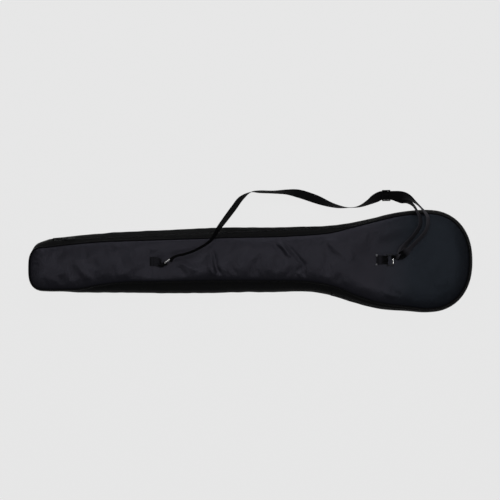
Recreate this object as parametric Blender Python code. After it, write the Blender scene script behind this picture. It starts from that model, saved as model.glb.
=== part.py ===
"""A long padded carrying bag with a wide rounded end, lying on its back with its shoulder strap beside it.

Frame: metres, +Z up. The origin is on the floor under the middle of the bag. +X runs from the narrow
end to the wide end, and +Y is the side that the zip runs along. The front panel faces up.
The wide half of the front folds back as a flap once the zip is open.
"""

import math

import bmesh
import bpy
from mathutils import Vector

# ---------------------------------------------------------------- driving dimensions, in metres
GAP = 0.0003  # left between pieces that touch
FABRIC = 0.0012  # outer cloth
FOAM = 0.0040  # padding
LINING = 0.0008  # inner cloth
THICKNESS = 0.0480  # floor to the top of the front panel, with the bag empty
PIPING_R = 0.0025  # piping cord in both seams
SEAM_FRONT_Z = THICKNESS - PIPING_R  # height of the front piping's centre
SEAM_BACK_Z = PIPING_R + GAP  # height of the back piping's centre
BELLY_Z = 0.0190  # height at which the side wall stands out furthest

FOLD_X = 0.2250  # the flap folds along this line across the bag
ZIP_START_X = -0.5300  # the zip's closed end, at the narrow end
ZIP_Z = 0.0335  # height of the middle of the zip
ZIP_LINE = (Vector((-0.512, 0.0535)), Vector((0.217, 0.0860)))  # the straight run of the zip, in plan
ZIP_TILT = math.radians(45)  # lean of the zip's face from upright, along the straight run
ZIP_SHARE = 0.72  # elsewhere, how much of the side wall's bulge there is at the zip's height
BULGE_DROP = 0.0260  # from the front seam down to the height where the wall stands out furthest

WEBBING = 0.0250  # width of the strap and its tabs
WEBBING_T = 0.0015  # thickness of the webbing

# The wide end and the narrow end are half superellipses: centre x, centre y, length, half width, power.
HEAD = (0.478, -0.003, 0.114, 0.1290, 2.25)
FOOT = (-0.545, -0.0225, 0.050, 0.0580, 3.1)
HEAD_BULGE = 0.0085
FOOT_BULGE = 0.0050
SHOULDER_BULGE = 0.0190  # where the side wall with the zip meets the narrow end

# The long edges of the front panel between those ends: x, y, and how far the side wall bulges out.
UPPER_EDGE = [
    (-0.500, 0.0410, 0.021),
    (-0.404, 0.0498, 0.023),
    (-0.242, 0.0554, 0.026),
    (-0.066, 0.0608, 0.027),
    (0.109, 0.0656, 0.023),
    (0.217, 0.0743, 0.019),
    (0.271, 0.0878, 0.013),
    (0.339, 0.1053, 0.009),
    (0.406, 0.1200, 0.0085),
]
LOWER_EDGE = [
    (0.420, -0.1256, 0.011),
    (0.352, -0.1168, 0.015),
    (0.285, -0.0959, 0.019),
    (0.231, -0.0735, 0.025),
    (0.163, -0.0594, 0.027),
    (0.055, -0.0567, 0.031),
    (-0.107, -0.0567, 0.033),
    (-0.260, -0.0595, 0.030),
    (-0.340, -0.0610, 0.028),
    (-0.405, -0.0680, 0.021),
    (-0.460, -0.0785, 0.010),
    (-0.510, -0.0800, 0.006),
]

COLOURS = {
    "fabric": ((0.012, 0.012, 0.014), 0.75, 0.0),
    "foam": ((0.10, 0.10, 0.10), 0.95, 0.0),
    "lining": ((0.03, 0.03, 0.035), 0.6, 0.0),
    "webbing": ((0.010, 0.010, 0.011), 0.7, 0.0),
    "piping": ((0.006, 0.006, 0.007), 0.5, 0.0),
    "zip": ((0.012, 0.012, 0.012), 0.5, 0.0),
    "slider": ((0.02, 0.02, 0.02), 0.35, 0.6),
    "steel": ((0.75, 0.75, 0.76), 0.2, 1.0),
    "buckle": ((0.010, 0.010, 0.010), 0.4, 0.0),
    "thread": ((0.02, 0.02, 0.022), 0.6, 0.0),
}


# ---------------------------------------------------------------- making objects
def clear_scene():
    for obj in list(bpy.data.objects):
        bpy.data.objects.remove(obj)


def material(name):
    found = bpy.data.materials.get(name)
    if found:
        return found
    colour, roughness, metallic = COLOURS[name]
    made = bpy.data.materials.new(name)
    made.use_nodes = True
    shader = made.node_tree.nodes["Principled BSDF"]
    shader.inputs["Base Color"].default_value = (*colour, 1.0)
    shader.inputs["Roughness"].default_value = roughness
    shader.inputs["Metallic"].default_value = metallic
    return made


def put(name, bm, finish, parent=None, smooth_deg=40):
    """Makes an object of the bmesh, whose points are in the frame of the parent, or of the bag."""
    bmesh.ops.recalc_face_normals(bm, faces=bm.faces)
    mesh = bpy.data.meshes.new(name)
    bm.to_mesh(mesh)
    bm.free()
    mesh.shade_smooth()
    mesh.set_sharp_from_angle(angle=math.radians(smooth_deg))
    mesh.materials.append(material(finish))
    obj = bpy.data.objects.new(name, mesh)
    bpy.context.scene.collection.objects.link(obj)
    obj.parent = parent
    return obj


def pivot(name, at, x_axis=(1, 0, 0), z_axis=(0, 0, 1)):
    """An empty at a joint: its children's points are in its own axes."""
    x = Vector(x_axis).normalized()
    z = (Vector(z_axis) - Vector(z_axis).dot(x) * x).normalized()
    y = z.cross(x)
    empty = bpy.data.objects.new(name, None)
    bpy.context.scene.collection.objects.link(empty)
    matrix = empty.matrix_world.copy()
    for column, axis in enumerate((x, y, z)):
        for row in range(3):
            matrix[row][column] = axis[row]
    matrix.translation = Vector(at)
    empty.matrix_world = matrix
    return empty


def loft(bm, sections, closed=False):
    """Joins sections, each the same number of points round a closed outline, into one solid. The second
    half of an outline faces the first half across a thin wall, so its quads are cut along the diagonal
    that lies opposite, and a twisted wall keeps its thickness."""
    rings = [[bm.verts.new(p) for p in section] for section in sections]
    pairs = list(zip(rings, rings[1:]))
    if closed:
        pairs.append((rings[-1], rings[0]))
    count = len(rings[0])
    for one, other in pairs:
        for k in range(count):
            after = (k + 1) % count
            a, b, c, d = one[k], one[after], other[after], other[k]
            halves = ((a, b, c), (a, c, d)) if k < count // 2 else ((a, b, d), (b, c, d))
            for half in halves:
                bm.faces.new(half)
    if not closed:
        bm.faces.new(rings[0])
        bm.faces.new(rings[-1])


def solid(name, sections, finish, parent=None, closed=False):
    bm = bmesh.new()
    loft(bm, sections, closed)
    return put(name, bm, finish, parent)


def box(bm, low, high):
    x0, y0, z0 = low
    x1, y1, z1 = high
    ends = [[(x, y0, z0), (x, y1, z0), (x, y1, z1), (x, y0, z1)] for x in (x0, x1)]
    loft(bm, ends)


def union_of_boxes(name, boxes, finish, parent):
    """One solid from boxes that run into each other."""
    parts = []
    for number, (low, high) in enumerate(boxes):
        bm = bmesh.new()
        box(bm, low, high)
        parts.append(put(name if number == 0 else f"{name}_tool_{number}", bm, finish, parent))
    for tool in parts[1:]:
        tool.hide_render = True
        tool.display_type = "WIRE"
        join = parts[0].modifiers.new("Join", "BOOLEAN")
        join.operation = "UNION"
        join.solver = "EXACT"
        join.object = tool
    return parts[0]


# ---------------------------------------------------------------- the outline of the bag
def half_superellipse(centre_x, centre_y, length, half_width, power, steps):
    """Points round one end, from +Y to -Y for the wide end, and from -Y to +Y for the narrow one."""
    points = []
    toward = 1 if centre_x > 0 else -1
    for k in range(steps + 1):
        angle = math.pi / 2 - math.pi * k / steps
        c, s = math.cos(angle), math.sin(angle)
        x = centre_x + toward * length * abs(c) ** (2 / power)
        y = centre_y + toward * half_width * math.copysign(abs(s) ** (2 / power), s)
        points.append((x, y))
    return points


def control_points():
    """The outline clockwise from above: x, y and bulge, from the narrow end along +Y and back."""
    head = [(x, y, HEAD_BULGE) for x, y in half_superellipse(*HEAD, steps=10)]
    foot = [(x, y, FOOT_BULGE) for x, y in half_superellipse(*FOOT, steps=8)]
    foot[-2] = (*foot[-2][:2], (FOOT_BULGE + SHOULDER_BULGE) / 2)
    foot[-1] = (*foot[-1][:2], SHOULDER_BULGE)
    return UPPER_EDGE + head + LOWER_EDGE + foot


def smooth_closed(points, steps=16):
    """A centripetal Catmull-Rom curve through points, round and back to the first one."""
    count = len(points)
    out = []
    for i in range(count):
        p = [Vector(points[(i + k) % count]) for k in (-1, 0, 1, 2)]
        t = [0.0]
        for a, b in zip(p, p[1:]):
            t.append(t[-1] + max((b.xy - a.xy).length, 1e-6) ** 0.5)
        for k in range(steps):
            u = t[1] + (t[2] - t[1]) * k / steps
            a = [p[j].lerp(p[j + 1], (u - t[j]) / (t[j + 1] - t[j])) for j in range(3)]
            b = [a[j].lerp(a[j + 1], (u - t[j]) / (t[j + 2] - t[j])) for j in range(2)]
            out.append(b[0].lerp(b[1], (u - t[1]) / (t[2] - t[1])))
    return out


def ease(t):
    t = min(1.0, max(0.0, t))
    return t * t * (3 - 2 * t)


class Station:
    """One place on the outline: the seam, its outward normal, the wall's bulge, how far out the zip is
    and how much it leans."""

    def __init__(self, at, tangent, bulge):
        self.seam = at
        self.out = Vector((-tangent.y, tangent.x, 0.0)).normalized()
        self.bulge = bulge
        start, end = ZIP_LINE
        along, out = end - start, self.out.xy
        to_line = (start - at.xy).cross(along) / out.cross(along)
        fade = 1.0 if at.y < 0 else ease((at.x - end.x) / 0.15)
        self.zip_out = ZIP_SHARE * bulge if fade == 1.0 else to_line + (ZIP_SHARE * bulge - to_line) * fade
        self.tilt = ZIP_TILT + (math.atan2(bulge, BULGE_DROP) - ZIP_TILT) * fade

    def wall(self, out, z):
        """A point at this height, this far outside the seam."""
        return Vector((*(self.seam + self.out * out).xy, z))

    def by_zip(self, down, face):
        """How far out and how high a point is, from its place down the wall and out of the zip's face."""
        c, s = math.cos(self.tilt), math.sin(self.tilt)
        return self.zip_out + down * s + face * c, ZIP_Z - down * c + face * s


class Outline:
    """The closed line of the front seam, read by the distance along it."""

    def __init__(self):
        self.points = smooth_closed(control_points())
        self.length = [0.0]
        for a, b in zip(self.points, self.points[1:] + self.points[:1]):
            self.length.append(self.length[-1] + (b.xy - a.xy).length)
        self.total = self.length[-1]
        zip_start = self.crossing(ZIP_START_X, upper=True)
        self.zip_start = zip_start
        self.fold_upper = self.crossing(FOLD_X, upper=True)
        self.fold_lower = self.crossing(FOLD_X, upper=False)

    def crossing(self, x, upper):
        """The distance along the line at which one long edge crosses this x."""
        for i, (a, b) in enumerate(zip(self.points, self.points[1:] + self.points[:1])):
            if (a.y > 0) == upper and (a.x - x) * (b.x - x) <= 0 and a.x != b.x:
                return self.length[i] + (b.xy - a.xy).length * (x - a.x) / (b.x - a.x)
        raise ValueError(f"the outline never crosses x = {x}")

    def at(self, distance):
        d = distance % self.total
        i = next(k for k in range(len(self.points)) if self.length[k + 1] >= d)
        share = (d - self.length[i]) / (self.length[i + 1] - self.length[i])
        return self.points[i].lerp(self.points[(i + 1) % len(self.points)], share)

    def station(self, distance):
        here = self.at(distance)
        step = 0.004
        tangent = self.at(distance + step) - self.at(distance - step)
        return Station(Vector((here.x, here.y, 0.0)), tangent, here.z)

    def stations(self, start, end, count):
        """Stations from start to end, closer together where the line turns or the wall swells."""
        if end <= start:
            end += self.total
        fine = [self.station(start + (end - start) * k / 200) for k in range(201)]
        weight = [0.0]
        for a, b in zip(fine, fine[1:]):
            turn = a.out.angle(b.out, 0.0)
            swell = abs(a.bulge - b.bulge)
            weight.append(weight[-1] + 0.25 / 200 + turn + 12 * swell)
        out, k = [], 0
        for n in range(count + 1):
            aim = weight[-1] * n / count
            while k < 199 and weight[k + 1] < aim:
                k += 1
            share = (aim - weight[k]) / (weight[k + 1] - weight[k])
            out.append(self.station(start + (end - start) * (k + min(1.0, share)) / 200))
        return out


# ---------------------------------------------------------------- the sewn bag
def cloth_section(station, line):
    """The outline of a strip of cloth whose outer face follows a line of (out, height), top to bottom."""
    outer = [Vector(point) for point in line]
    inner = []
    for i, here in enumerate(outer):
        way = (outer[min(i + 1, len(outer) - 1)] - outer[max(i - 1, 0)]).normalized()
        edge = (outer[i + 1] - here if i == 0 else here - outer[i - 1]).normalized()
        miter = 1.0 / max(way.dot(edge), 0.7)
        inner.append(here + Vector((way.y, -way.x)) * FABRIC * miter)
    return [station.wall(*point) for point in outer + inner[::-1]]


WALL_TOP = SEAM_FRONT_Z - PIPING_R - 0.0008
WALL_BOTTOM = SEAM_BACK_Z + PIPING_R + 0.0008


def under_belly(station):
    """The lower half of a side wall, from where it stands out furthest down to the back piping."""
    bulge = station.bulge
    return [(bulge, BELLY_Z), (0.66 * bulge, 0.0105), (0.0, WALL_BOTTOM)]


def plain_wall(station):
    """The side wall where there is no zip, between the two pipings."""
    above = [(0.0, WALL_TOP), (ZIP_SHARE * station.bulge, ZIP_Z)]
    return cloth_section(station, above + under_belly(station))


ZIP_EDGE = 0.0036  # from the middle of the zip to the folded edge of the cloth beside it
ZIP_FLAT = 0.0080  # from the middle of the zip to where that cloth stops lying flat


def skirt(station):
    """The strip of cloth above the zip."""
    beside = [station.by_zip(-ZIP_FLAT, FABRIC), station.by_zip(-ZIP_EDGE, FABRIC)]
    return cloth_section(station, [(0.0, WALL_TOP), *beside])


def zip_wall(station):
    """The side wall below the zip."""
    beside = [station.by_zip(ZIP_EDGE, FABRIC), station.by_zip(ZIP_FLAT, FABRIC)]
    return cloth_section(station, beside + under_belly(station))


def zip_strip(station, near, far, low, high):
    """A strip in the zip's frame, from near to far down the wall, and from low to high out of it."""
    corners = [(near, low), (far, low), (far, high), (near, high)]
    return [station.wall(*station.by_zip(down, face)) for down, face in corners]


def upper_tape(station):
    return zip_strip(station, -0.0072, -0.0009, -0.0015, -0.0007)


def lower_tape(station):
    return zip_strip(station, 0.0009, 0.0072, -0.0015, -0.0007)


def upper_coil(station):
    return zip_strip(station, -0.0031, -0.0007, 0.0, 0.0022)


def lower_coil(station):
    return zip_strip(station, 0.0007, 0.0031, 0.0, 0.0022)


def cord_section(station, z, radius=PIPING_R, sides=6):
    angles = [2 * math.pi * k / sides for k in range(sides)]
    return [station.wall(radius * math.cos(a), z + radius * math.sin(a)) for a in angles]


def front_piping_section(station):
    return cord_section(station, SEAM_FRONT_Z)


def back_piping_section(station):
    return cord_section(station, SEAM_BACK_Z)


def front_binding_section(station):
    """The tape that binds the front seam's raw edges, inside the bag."""
    corners = [(-0.0075, 0.0330), (-0.0062, 0.0330), (-0.0062, 0.0408), (-0.0075, 0.0408)]
    return [station.wall(out, z) for out, z in corners]


def back_binding_section(station):
    corners = [(-0.0042, 0.0072), (-0.0030, 0.0072), (-0.0030, 0.0145), (-0.0042, 0.0145)]
    return [station.wall(out, z) for out, z in corners]


def sheet(name, stations, inset, bottom, thickness, finish, parent=None):
    """A flat layer of a panel, cut this far inside the seam."""
    rim = [station.wall(-inset, bottom) for station in stations]
    top = [point + Vector((0, 0, thickness)) for point in rim]
    return solid(name, [rim, top], finish, parent)


PANEL_INSET = PIPING_R + GAP
PADDING_INSET = 0.0085


def panel_layers(prefix, stations, heights, parent=None):
    """The three layers of a panel, outer cloth first, with the height of each one's underside."""
    cloth, foam, lining = heights
    sheet(f"{prefix}_panel", stations, PANEL_INSET, cloth, FABRIC, "fabric", parent)
    sheet(f"{prefix}_foam", stations, PADDING_INSET, foam, FOAM, "foam", parent)
    sheet(f"{prefix}_lining", stations, PADDING_INSET, lining, LINING, "lining", parent)


def front_heights():
    cloth = THICKNESS - FABRIC
    foam = cloth - GAP - FOAM
    return cloth, foam, foam - GAP - LINING


def back_heights():
    foam = FABRIC + GAP
    return 0.0, foam, foam + FOAM + GAP


def run(name, stations, section, finish, parent=None, closed=False):
    """A strip or cord that follows the outline. Its stations are in the bag's frame."""
    sections = [section(station) for station in stations]
    return solid(name, sections, finish, parent, closed)


def held_by(empty, obj):
    """Hands an object made in the bag's frame to a joint's empty, without moving it."""
    bpy.context.view_layer.update()
    obj.parent = empty
    obj.matrix_parent_inverse = empty.matrix_world.inverted()
    return obj


def sewn_bag(outline, flap):
    small = GAP / 2
    shaft_upper = outline.stations(outline.zip_start + small, outline.fold_upper - small, 16)
    head = outline.stations(outline.fold_upper + small, outline.fold_lower - small, 34)
    plain = outline.stations(outline.fold_lower + small, outline.zip_start - small, 34)
    zip_whole = shaft_upper + head
    shaft = plain + shaft_upper
    all_round = shaft + head

    panel_layers("back", all_round, back_heights())
    panel_layers("front", shaft, front_heights())
    run("back_piping", all_round, back_piping_section, "piping", closed=True)
    run("back_seam_binding", all_round, back_binding_section, "lining", closed=True)
    run("front_piping", shaft, front_piping_section, "piping")
    run("front_seam_binding", shaft, front_binding_section, "lining")
    run("plain_side_wall", plain, plain_wall, "fabric")
    run("shaft_zip_skirt", shaft_upper, skirt, "fabric")
    run("shaft_zip_wall", shaft_upper, zip_wall, "fabric")
    run("head_zip_wall", head, zip_wall, "fabric")
    run("lower_zip_tape", zip_whole, lower_tape, "zip")
    run("lower_zip_coil", zip_whole, lower_coil, "zip")
    run("upper_zip_tape", shaft_upper, upper_tape, "zip")
    run("upper_zip_coil", shaft_upper, upper_coil, "zip")

    cloth, foam, lining = front_heights()
    on_flap = [
        sheet("flap_panel", head, PANEL_INSET, cloth, FABRIC, "fabric"),
        sheet("flap_foam", head, PADDING_INSET, foam, FOAM, "foam"),
        sheet("flap_lining", head, PADDING_INSET, lining, LINING, "lining"),
        run("flap_piping", head, front_piping_section, "piping"),
        run("flap_seam_binding", head, front_binding_section, "lining"),
        run("flap_zip_skirt", head, skirt, "fabric"),
        run("flap_zip_tape", head, upper_tape, "zip"),
        run("flap_zip_coil", head, upper_coil, "zip"),
    ]
    for obj in on_flap:
        held_by(flap, obj)


# ---------------------------------------------------------------- the zip's slider and pull
SLIDER_X = -0.500  # where the slider is parked, with the zip closed


def zip_slider_frame():
    """The slider's place, the way it travels, and the way out of the zip's face."""
    start, end = ZIP_LINE
    share = (SLIDER_X - start.x) / (end.x - start.x)
    at = Vector((*start.lerp(end, share), ZIP_Z))
    along = Vector((*(end - start), 0.0)).normalized()
    out = Vector((-along.y, along.x, 0.0))
    face = out * math.cos(ZIP_TILT) + Vector((0, 0, math.sin(ZIP_TILT)))
    return at, along, face


def zip_slider():
    """The slider, whose own X is its travel and whose own Z points out of the zip."""
    at, along, face = zip_slider_frame()
    empty = pivot("zip_slider_pivot", at, along, face)
    boxes = [
        ((-0.0060, -0.0042, 0.0026), (0.0060, 0.0042, 0.0038)),  # outer plate
        ((-0.0050, -0.00035, -0.0024), (-0.0015, 0.00035, 0.0030)),  # post between the coils
        ((-0.0060, -0.0042, -0.0031), (0.0060, 0.0042, -0.0019)),  # inner plate
        ((-0.0034, -0.0011, 0.0034), (-0.0022, 0.0011, 0.0068)),  # loop that holds the pull
        ((0.0022, -0.0011, 0.0034), (0.0034, 0.0011, 0.0068)),
        ((-0.0034, -0.0011, 0.0060), (0.0034, 0.0011, 0.0070)),
    ]
    union_of_boxes("zip_slider", boxes, "slider", empty)


PULL_AXIS_OUT = 0.0049  # from the zip's face to the bar that the pull turns on


def zip_pull():
    """The pull tab, lying towards the wide end, with its bar under the slider's loop."""
    at, along, face = zip_slider_frame()
    empty = pivot("zip_pull_pivot", at + face * PULL_AXIS_OUT, along, face)
    boxes = [
        ((-0.0006, -0.0030, -0.0006), (0.0006, 0.0030, 0.0006)),  # bar
        ((-0.0006, -0.0030, -0.0006), (0.0100, -0.0017, 0.0006)),  # arms
        ((-0.0006, 0.0017, -0.0006), (0.0100, 0.0030, 0.0006)),
        ((0.0085, -0.0034, -0.0007), (0.0270, 0.0034, 0.0007)),  # blade
    ]
    union_of_boxes("zip_pull", boxes, "slider", empty)


def zip_stops(outline):
    """Two stops at the closed end and one at the open end, clamped over the coils."""
    first = outline.stations(outline.zip_start + 0.004, outline.zip_start + 0.008, 1)
    last = outline.stations(outline.fold_lower - 0.008, outline.fold_lower - 0.004, 1)
    spans = [
        ("zip_stop_upper", first, -0.0031, -0.0008),
        ("zip_stop_lower", first, 0.0008, 0.0031),
        ("zip_stop_open_end", last, 0.0008, 0.0031),
    ]
    for name, stations, near, far in spans:
        solid(name, [zip_strip(s, near, far, 0.0022 + GAP, 0.0034) for s in stations], "slider")


# ---------------------------------------------------------------- tabs, rings and the strap's loops
RING_WIRE_R = 0.0016
RING_REACH = 0.0165  # between the centres of a ring's two long bars
RING_SPAN = 0.0290  # between the centres of its two short sides
RING_CORNER = 0.0035
LOOP_CLEAR = 0.0004  # between a bar and the webbing folded round it
LAYER_GAP = 0.0006  # between two layers of a fold, where they lie together
LAYER_OFF = RING_WIRE_R + LOOP_CLEAR + WEBBING_T / 2  # from a bar's centre to the webbing's middle
RING_Z = THICKNESS + GAP + WEBBING_T / 2 + LAYER_OFF


class Hold:
    """Where a ring turns in its tab: the bar's middle, the ring's heading in plan and its roll about
    that heading, which is 0 when the ring lies flat."""

    def __init__(self, x, y, z, heading_deg, roll_deg):
        heading, roll = math.radians(heading_deg), math.radians(roll_deg)
        self.at = Vector((x, y, z))
        self.roll = roll
        self.ahead = Vector((math.cos(heading), math.sin(heading), 0.0))
        left = Vector((-self.ahead.y, self.ahead.x, 0.0))
        self.bar = left * math.cos(roll) + Vector((0, 0, math.sin(roll)))
        self.normal = self.ahead.cross(self.bar)


LEFT = Hold(-0.2262, -0.0100, 0.0641, heading_deg=35, roll_deg=75)
RIGHT = Hold(0.3690, 0.0, RING_Z, heading_deg=0, roll_deg=0)
LEFT_TAB_RISES_AT = Vector((-0.2560, -0.0035, RING_Z))  # where the left tab leaves the panel
TWIST = 0.0320  # length of the left tab that is clear of the panel
STRAIGHT = 0.0060  # and the part of it next to the ring that is no longer twisting


def hairpin(tail, pinch):
    """The middle line of webbing folded round a bar at the origin, in X and Z, with its tails at -X. The
    layers lie together from the pinch on, and the one on top ends one cut short of the other."""
    steps = 8
    upper = -LAYER_OFF + WEBBING_T + LAYER_GAP
    cuts = max(2, round((tail - pinch) / 0.0025))
    places = [-pinch - (tail - pinch) * k / cuts for k in range(cuts + 1)]
    line = [(place, -LAYER_OFF) for place in reversed(places)]
    for k in range(steps + 1):
        angle = -math.pi / 2 + math.pi * k / steps
        line.append((LAYER_OFF * math.cos(angle), LAYER_OFF * math.sin(angle)))
    return line + [(place, upper) for place in places[:-1]]


def thick_line(line, thickness):
    """The closed outline of a line drawn this thick."""
    left, right = [], []
    for i, (x, z) in enumerate(line):
        before = Vector(line[max(i - 1, 0)])
        after = Vector(line[min(i + 1, len(line) - 1)])
        here = Vector((x, z))
        ways = [w.normalized() for w in (here - before, after - here) if w.length > 0]
        way = sum(ways, Vector((0, 0))).normalized()
        side = Vector((-way.y, way.x)) * (thickness / 2 / max(way.dot(ways[0]), 0.5))
        left.append(here + side)
        right.append(here - side)
    return left + right[::-1]


def folded_webbing(name, line, frame_at, parent=None):
    """Webbing folded into a line of (along, off). frame_at gives, for a place along, the middle, the ways
    across and off, and the width."""
    outline = thick_line(line, WEBBING_T)
    sections = []
    for k in range(7):
        section = []
        for along, off in outline:
            middle, across, normal, width = frame_at(along)
            section.append(middle + across * width * (k / 6 - 0.5) + normal * off)
        sections.append(section)
    return solid(name, sections, "webbing", parent)


def straight_frame(offset, fold_width, tail_width, mirror=False):
    """Frames along a pivot's own X, with the bar on its Y axis. mirror puts the tails at +X."""

    def frame_at(along):
        share = 1.0 - ease((-along - 0.003) / 0.014)
        width = tail_width + (fold_width - tail_width) * share
        middle = Vector((-along if mirror else along, offset, 0.0))
        return middle, Vector((0, 1, 0)), Vector((0, 0, 1)), width

    return frame_at


def twisted_frame(along):
    """Frames along the left tab, in the bag's frame: flat on the panel, then twisted up to its ring."""
    start = LEFT_TAB_RISES_AT
    end = LEFT.at - LEFT.ahead * STRAIGHT
    u = (along + TWIST) / (TWIST - STRAIGHT)
    if u <= 0:
        middle = start + Vector((along + TWIST, 0, 0))
        return middle, Vector((0, 1, 0)), Vector((0, 0, 1)), WEBBING
    if u >= 1:
        return LEFT.at + LEFT.ahead * along, LEFT.bar, LEFT.normal, WEBBING - 0.005
    reach = TWIST - STRAIGHT
    first, last = Vector((reach, 0, 0)), LEFT.ahead * reach
    middle = start * (2 * u**3 - 3 * u**2 + 1) + first * (u**3 - 2 * u**2 + u)
    middle += end * (3 * u**2 - 2 * u**3) + last * (u**3 - u**2)
    way = (end - start) * (6 * u - 6 * u**2) + first * (3 * u**2 - 4 * u + 1) + last * (3 * u**2 - 2 * u)
    way.normalize()
    left = Vector((-way.y, way.x, 0.0)).normalized()
    roll = LEFT.roll * ease(u)
    across = left * math.cos(roll) + way.cross(left) * math.sin(roll)
    return middle, across, way.cross(across), WEBBING - 0.005 * ease(u)


def ring_path(steps=5):
    """Round a rectangle with round corners, with the hinge bar on the Y axis and the other at +X."""
    r = RING_CORNER
    half = RING_SPAN / 2
    centres = [(RING_REACH - r, half - r), (r, half - r), (r, r - half), (RING_REACH - r, r - half)]
    path = []
    for corner, (cx, cy) in enumerate(centres):
        for k in range(steps + 1):
            angle = math.pi / 2 * (corner + k / steps)
            path.append(Vector((cx + r * math.cos(angle), cy + r * math.sin(angle), 0.0)))
    return path


def ring(name, parent, sides=8):
    path = ring_path()
    sections = []
    for i, point in enumerate(path):
        way = (path[(i + 1) % len(path)] - path[i - 1]).normalized()
        out = Vector((way.y, -way.x, 0.0))
        turns = [2 * math.pi * k / sides for k in range(sides)]
        up = Vector((0, 0, 1))
        sections.append([point + (out * math.cos(a) + up * math.sin(a)) * RING_WIRE_R for a in turns])
    return solid(name, sections, "steel", parent, closed=True)


def stitch_rows(name, frame_at, rows, parent=None):
    """Bar tacks across a tab, proud of its top layer."""
    top = -LAYER_OFF + 1.5 * WEBBING_T + LAYER_GAP + GAP
    for row, along in rows:
        middle, across, normal, width = frame_at(along)
        ahead = across.cross(normal)
        ends = []
        for step in (0.0, 0.0020):
            corners = [(-0.44, 0.0), (0.44, 0.0), (0.44, 0.0006), (-0.44, 0.0006)]
            spot = middle + ahead * step
            ends.append([spot + across * width * u + normal * (top + n) for u, n in corners])
        solid(f"{name}_{row}", ends, "thread", parent)


def ring_and_loop(side, hold, loop_width, loop_offset, loop_tail):
    """The ring that a tab holds, and the end of the strap folded round the ring's other bar."""
    ring(f"{side}_ring", pivot(f"{side}_ring_pivot", hold.at, hold.ahead, hold.normal))
    far_bar = hold.at + hold.ahead * RING_REACH
    loop_pivot = pivot(f"{side}_loop_pivot", far_bar, hold.ahead, hold.normal)
    line = hairpin(tail=loop_tail, pinch=0.0060)
    frame_at = straight_frame(loop_offset, loop_width, loop_width, mirror=True)
    folded_webbing(f"strap_{side}_loop", line, frame_at, loop_pivot)


def tabs_and_rings():
    left_line = hairpin(tail=0.0460, pinch=STRAIGHT)
    folded_webbing("left_tab", left_line, twisted_frame)
    stitch_rows("left_tab_stitching", twisted_frame, (("outer", -0.0425), ("inner", -0.0350)))
    ring_and_loop("left", LEFT, loop_width=0.0190, loop_offset=0.0, loop_tail=0.0100)

    on_panel = pivot("right_tab_pivot", RIGHT.at)
    right_frame = straight_frame(0.0, 0.0210, WEBBING)
    folded_webbing("right_tab", hairpin(tail=0.0285, pinch=0.0085), right_frame, on_panel)
    rows = (("outer", -0.0240), ("inner", -0.0130))
    stitch_rows("right_tab_stitching", right_frame, rows, on_panel)
    ring_and_loop("right", RIGHT, loop_width=0.0080, loop_offset=0.0080, loop_tail=0.0160)


# ---------------------------------------------------------------- the shoulder strap
def smooth_open(points, step):
    """A Catmull-Rom curve through points of any number of values, with points about step apart."""
    rows = [Vector(p) for p in points]
    rows = [2 * rows[0] - rows[1]] + rows + [2 * rows[-1] - rows[-2]]
    out = []
    for p0, p1, p2, p3 in zip(rows, rows[1:], rows[2:], rows[3:]):
        count = max(1, round(Vector((p2 - p1)[:3]).length / step))
        for k in range(count):
            t = k / count
            a = 2 * p1
            b = (p2 - p0) * t
            c = (2 * p0 - 5 * p1 + 4 * p2 - p3) * t * t
            d = (3 * p1 - p0 - 3 * p2 + p3) * t**3
            out.append((a + b + c + d) / 2)
    out.append(rows[-2])
    return out


def strap_row(x, y, rests_at, roll_deg, width=WEBBING):
    """One point of a strap's route: where it is in plan, the height of what it rests on, its roll about
    its own length (0 lies flat and 90 stands on edge), and its width. The result holds x, y, z, roll,
    width."""
    roll = math.radians(roll_deg)
    rise = width / 2 * abs(math.sin(roll)) + WEBBING_T / 2 * abs(math.cos(roll))
    return (x, y, rests_at + rise, roll, width)


TOP = THICKNESS + 0.0006  # the height that the strap rests at on the front panel

MAIN_ROUTE = [
    strap_row(-0.2048, 0.0088, TOP + 0.0050, 75, 0.019),
    strap_row(-0.1915, 0.0130, TOP + 0.0020, 76, 0.023),
    strap_row(-0.1700, 0.0176, TOP, 76),
    strap_row(-0.1450, 0.0275, TOP, 76),
    strap_row(-0.1215, 0.0405, TOP, 76),
    strap_row(-0.1026, 0.0560, TOP + 0.0010, 72),
    strap_row(-0.0850, 0.0850, 0.0400, 64),
    strap_row(-0.0675, 0.1094, 0.0170, 57),
    strap_row(-0.0440, 0.1410, 0.0015, 54),
    strap_row(-0.0250, 0.1660, 0.0005, 60),
    strap_row(0.0010, 0.1835, 0.0005, 90),
    strap_row(0.0250, 0.1850, 0.0005, 107),
    strap_row(0.0640, 0.1840, 0.0005, 110),
    strap_row(0.1000, 0.1840, 0.0005, 125),
    strap_row(0.1360, 0.1790, 0.0005, 157),
    strap_row(0.1760, 0.1660, 0.0005, 160),
    strap_row(0.2140, 0.1515, 0.0005, 128),
    strap_row(0.2440, 0.1440, 0.0005, 108),
    strap_row(0.2720, 0.1420, 0.0005, 91),
    strap_row(0.2980, 0.1455, 0.0005, 102),
    strap_row(0.3250, 0.1580, 0.0007, 128),
]
ADJUSTER_AT = Vector((0.3700, 0.1750, 0.0))  # the middle of the adjuster, on the floor
ADJUSTER_WAY = Vector((1.0, 0.02, 0.0)).normalized()  # the way it slides, towards the ring
MAIN_REST = 0.0020  # the webbing's underside inside the adjuster
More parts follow.
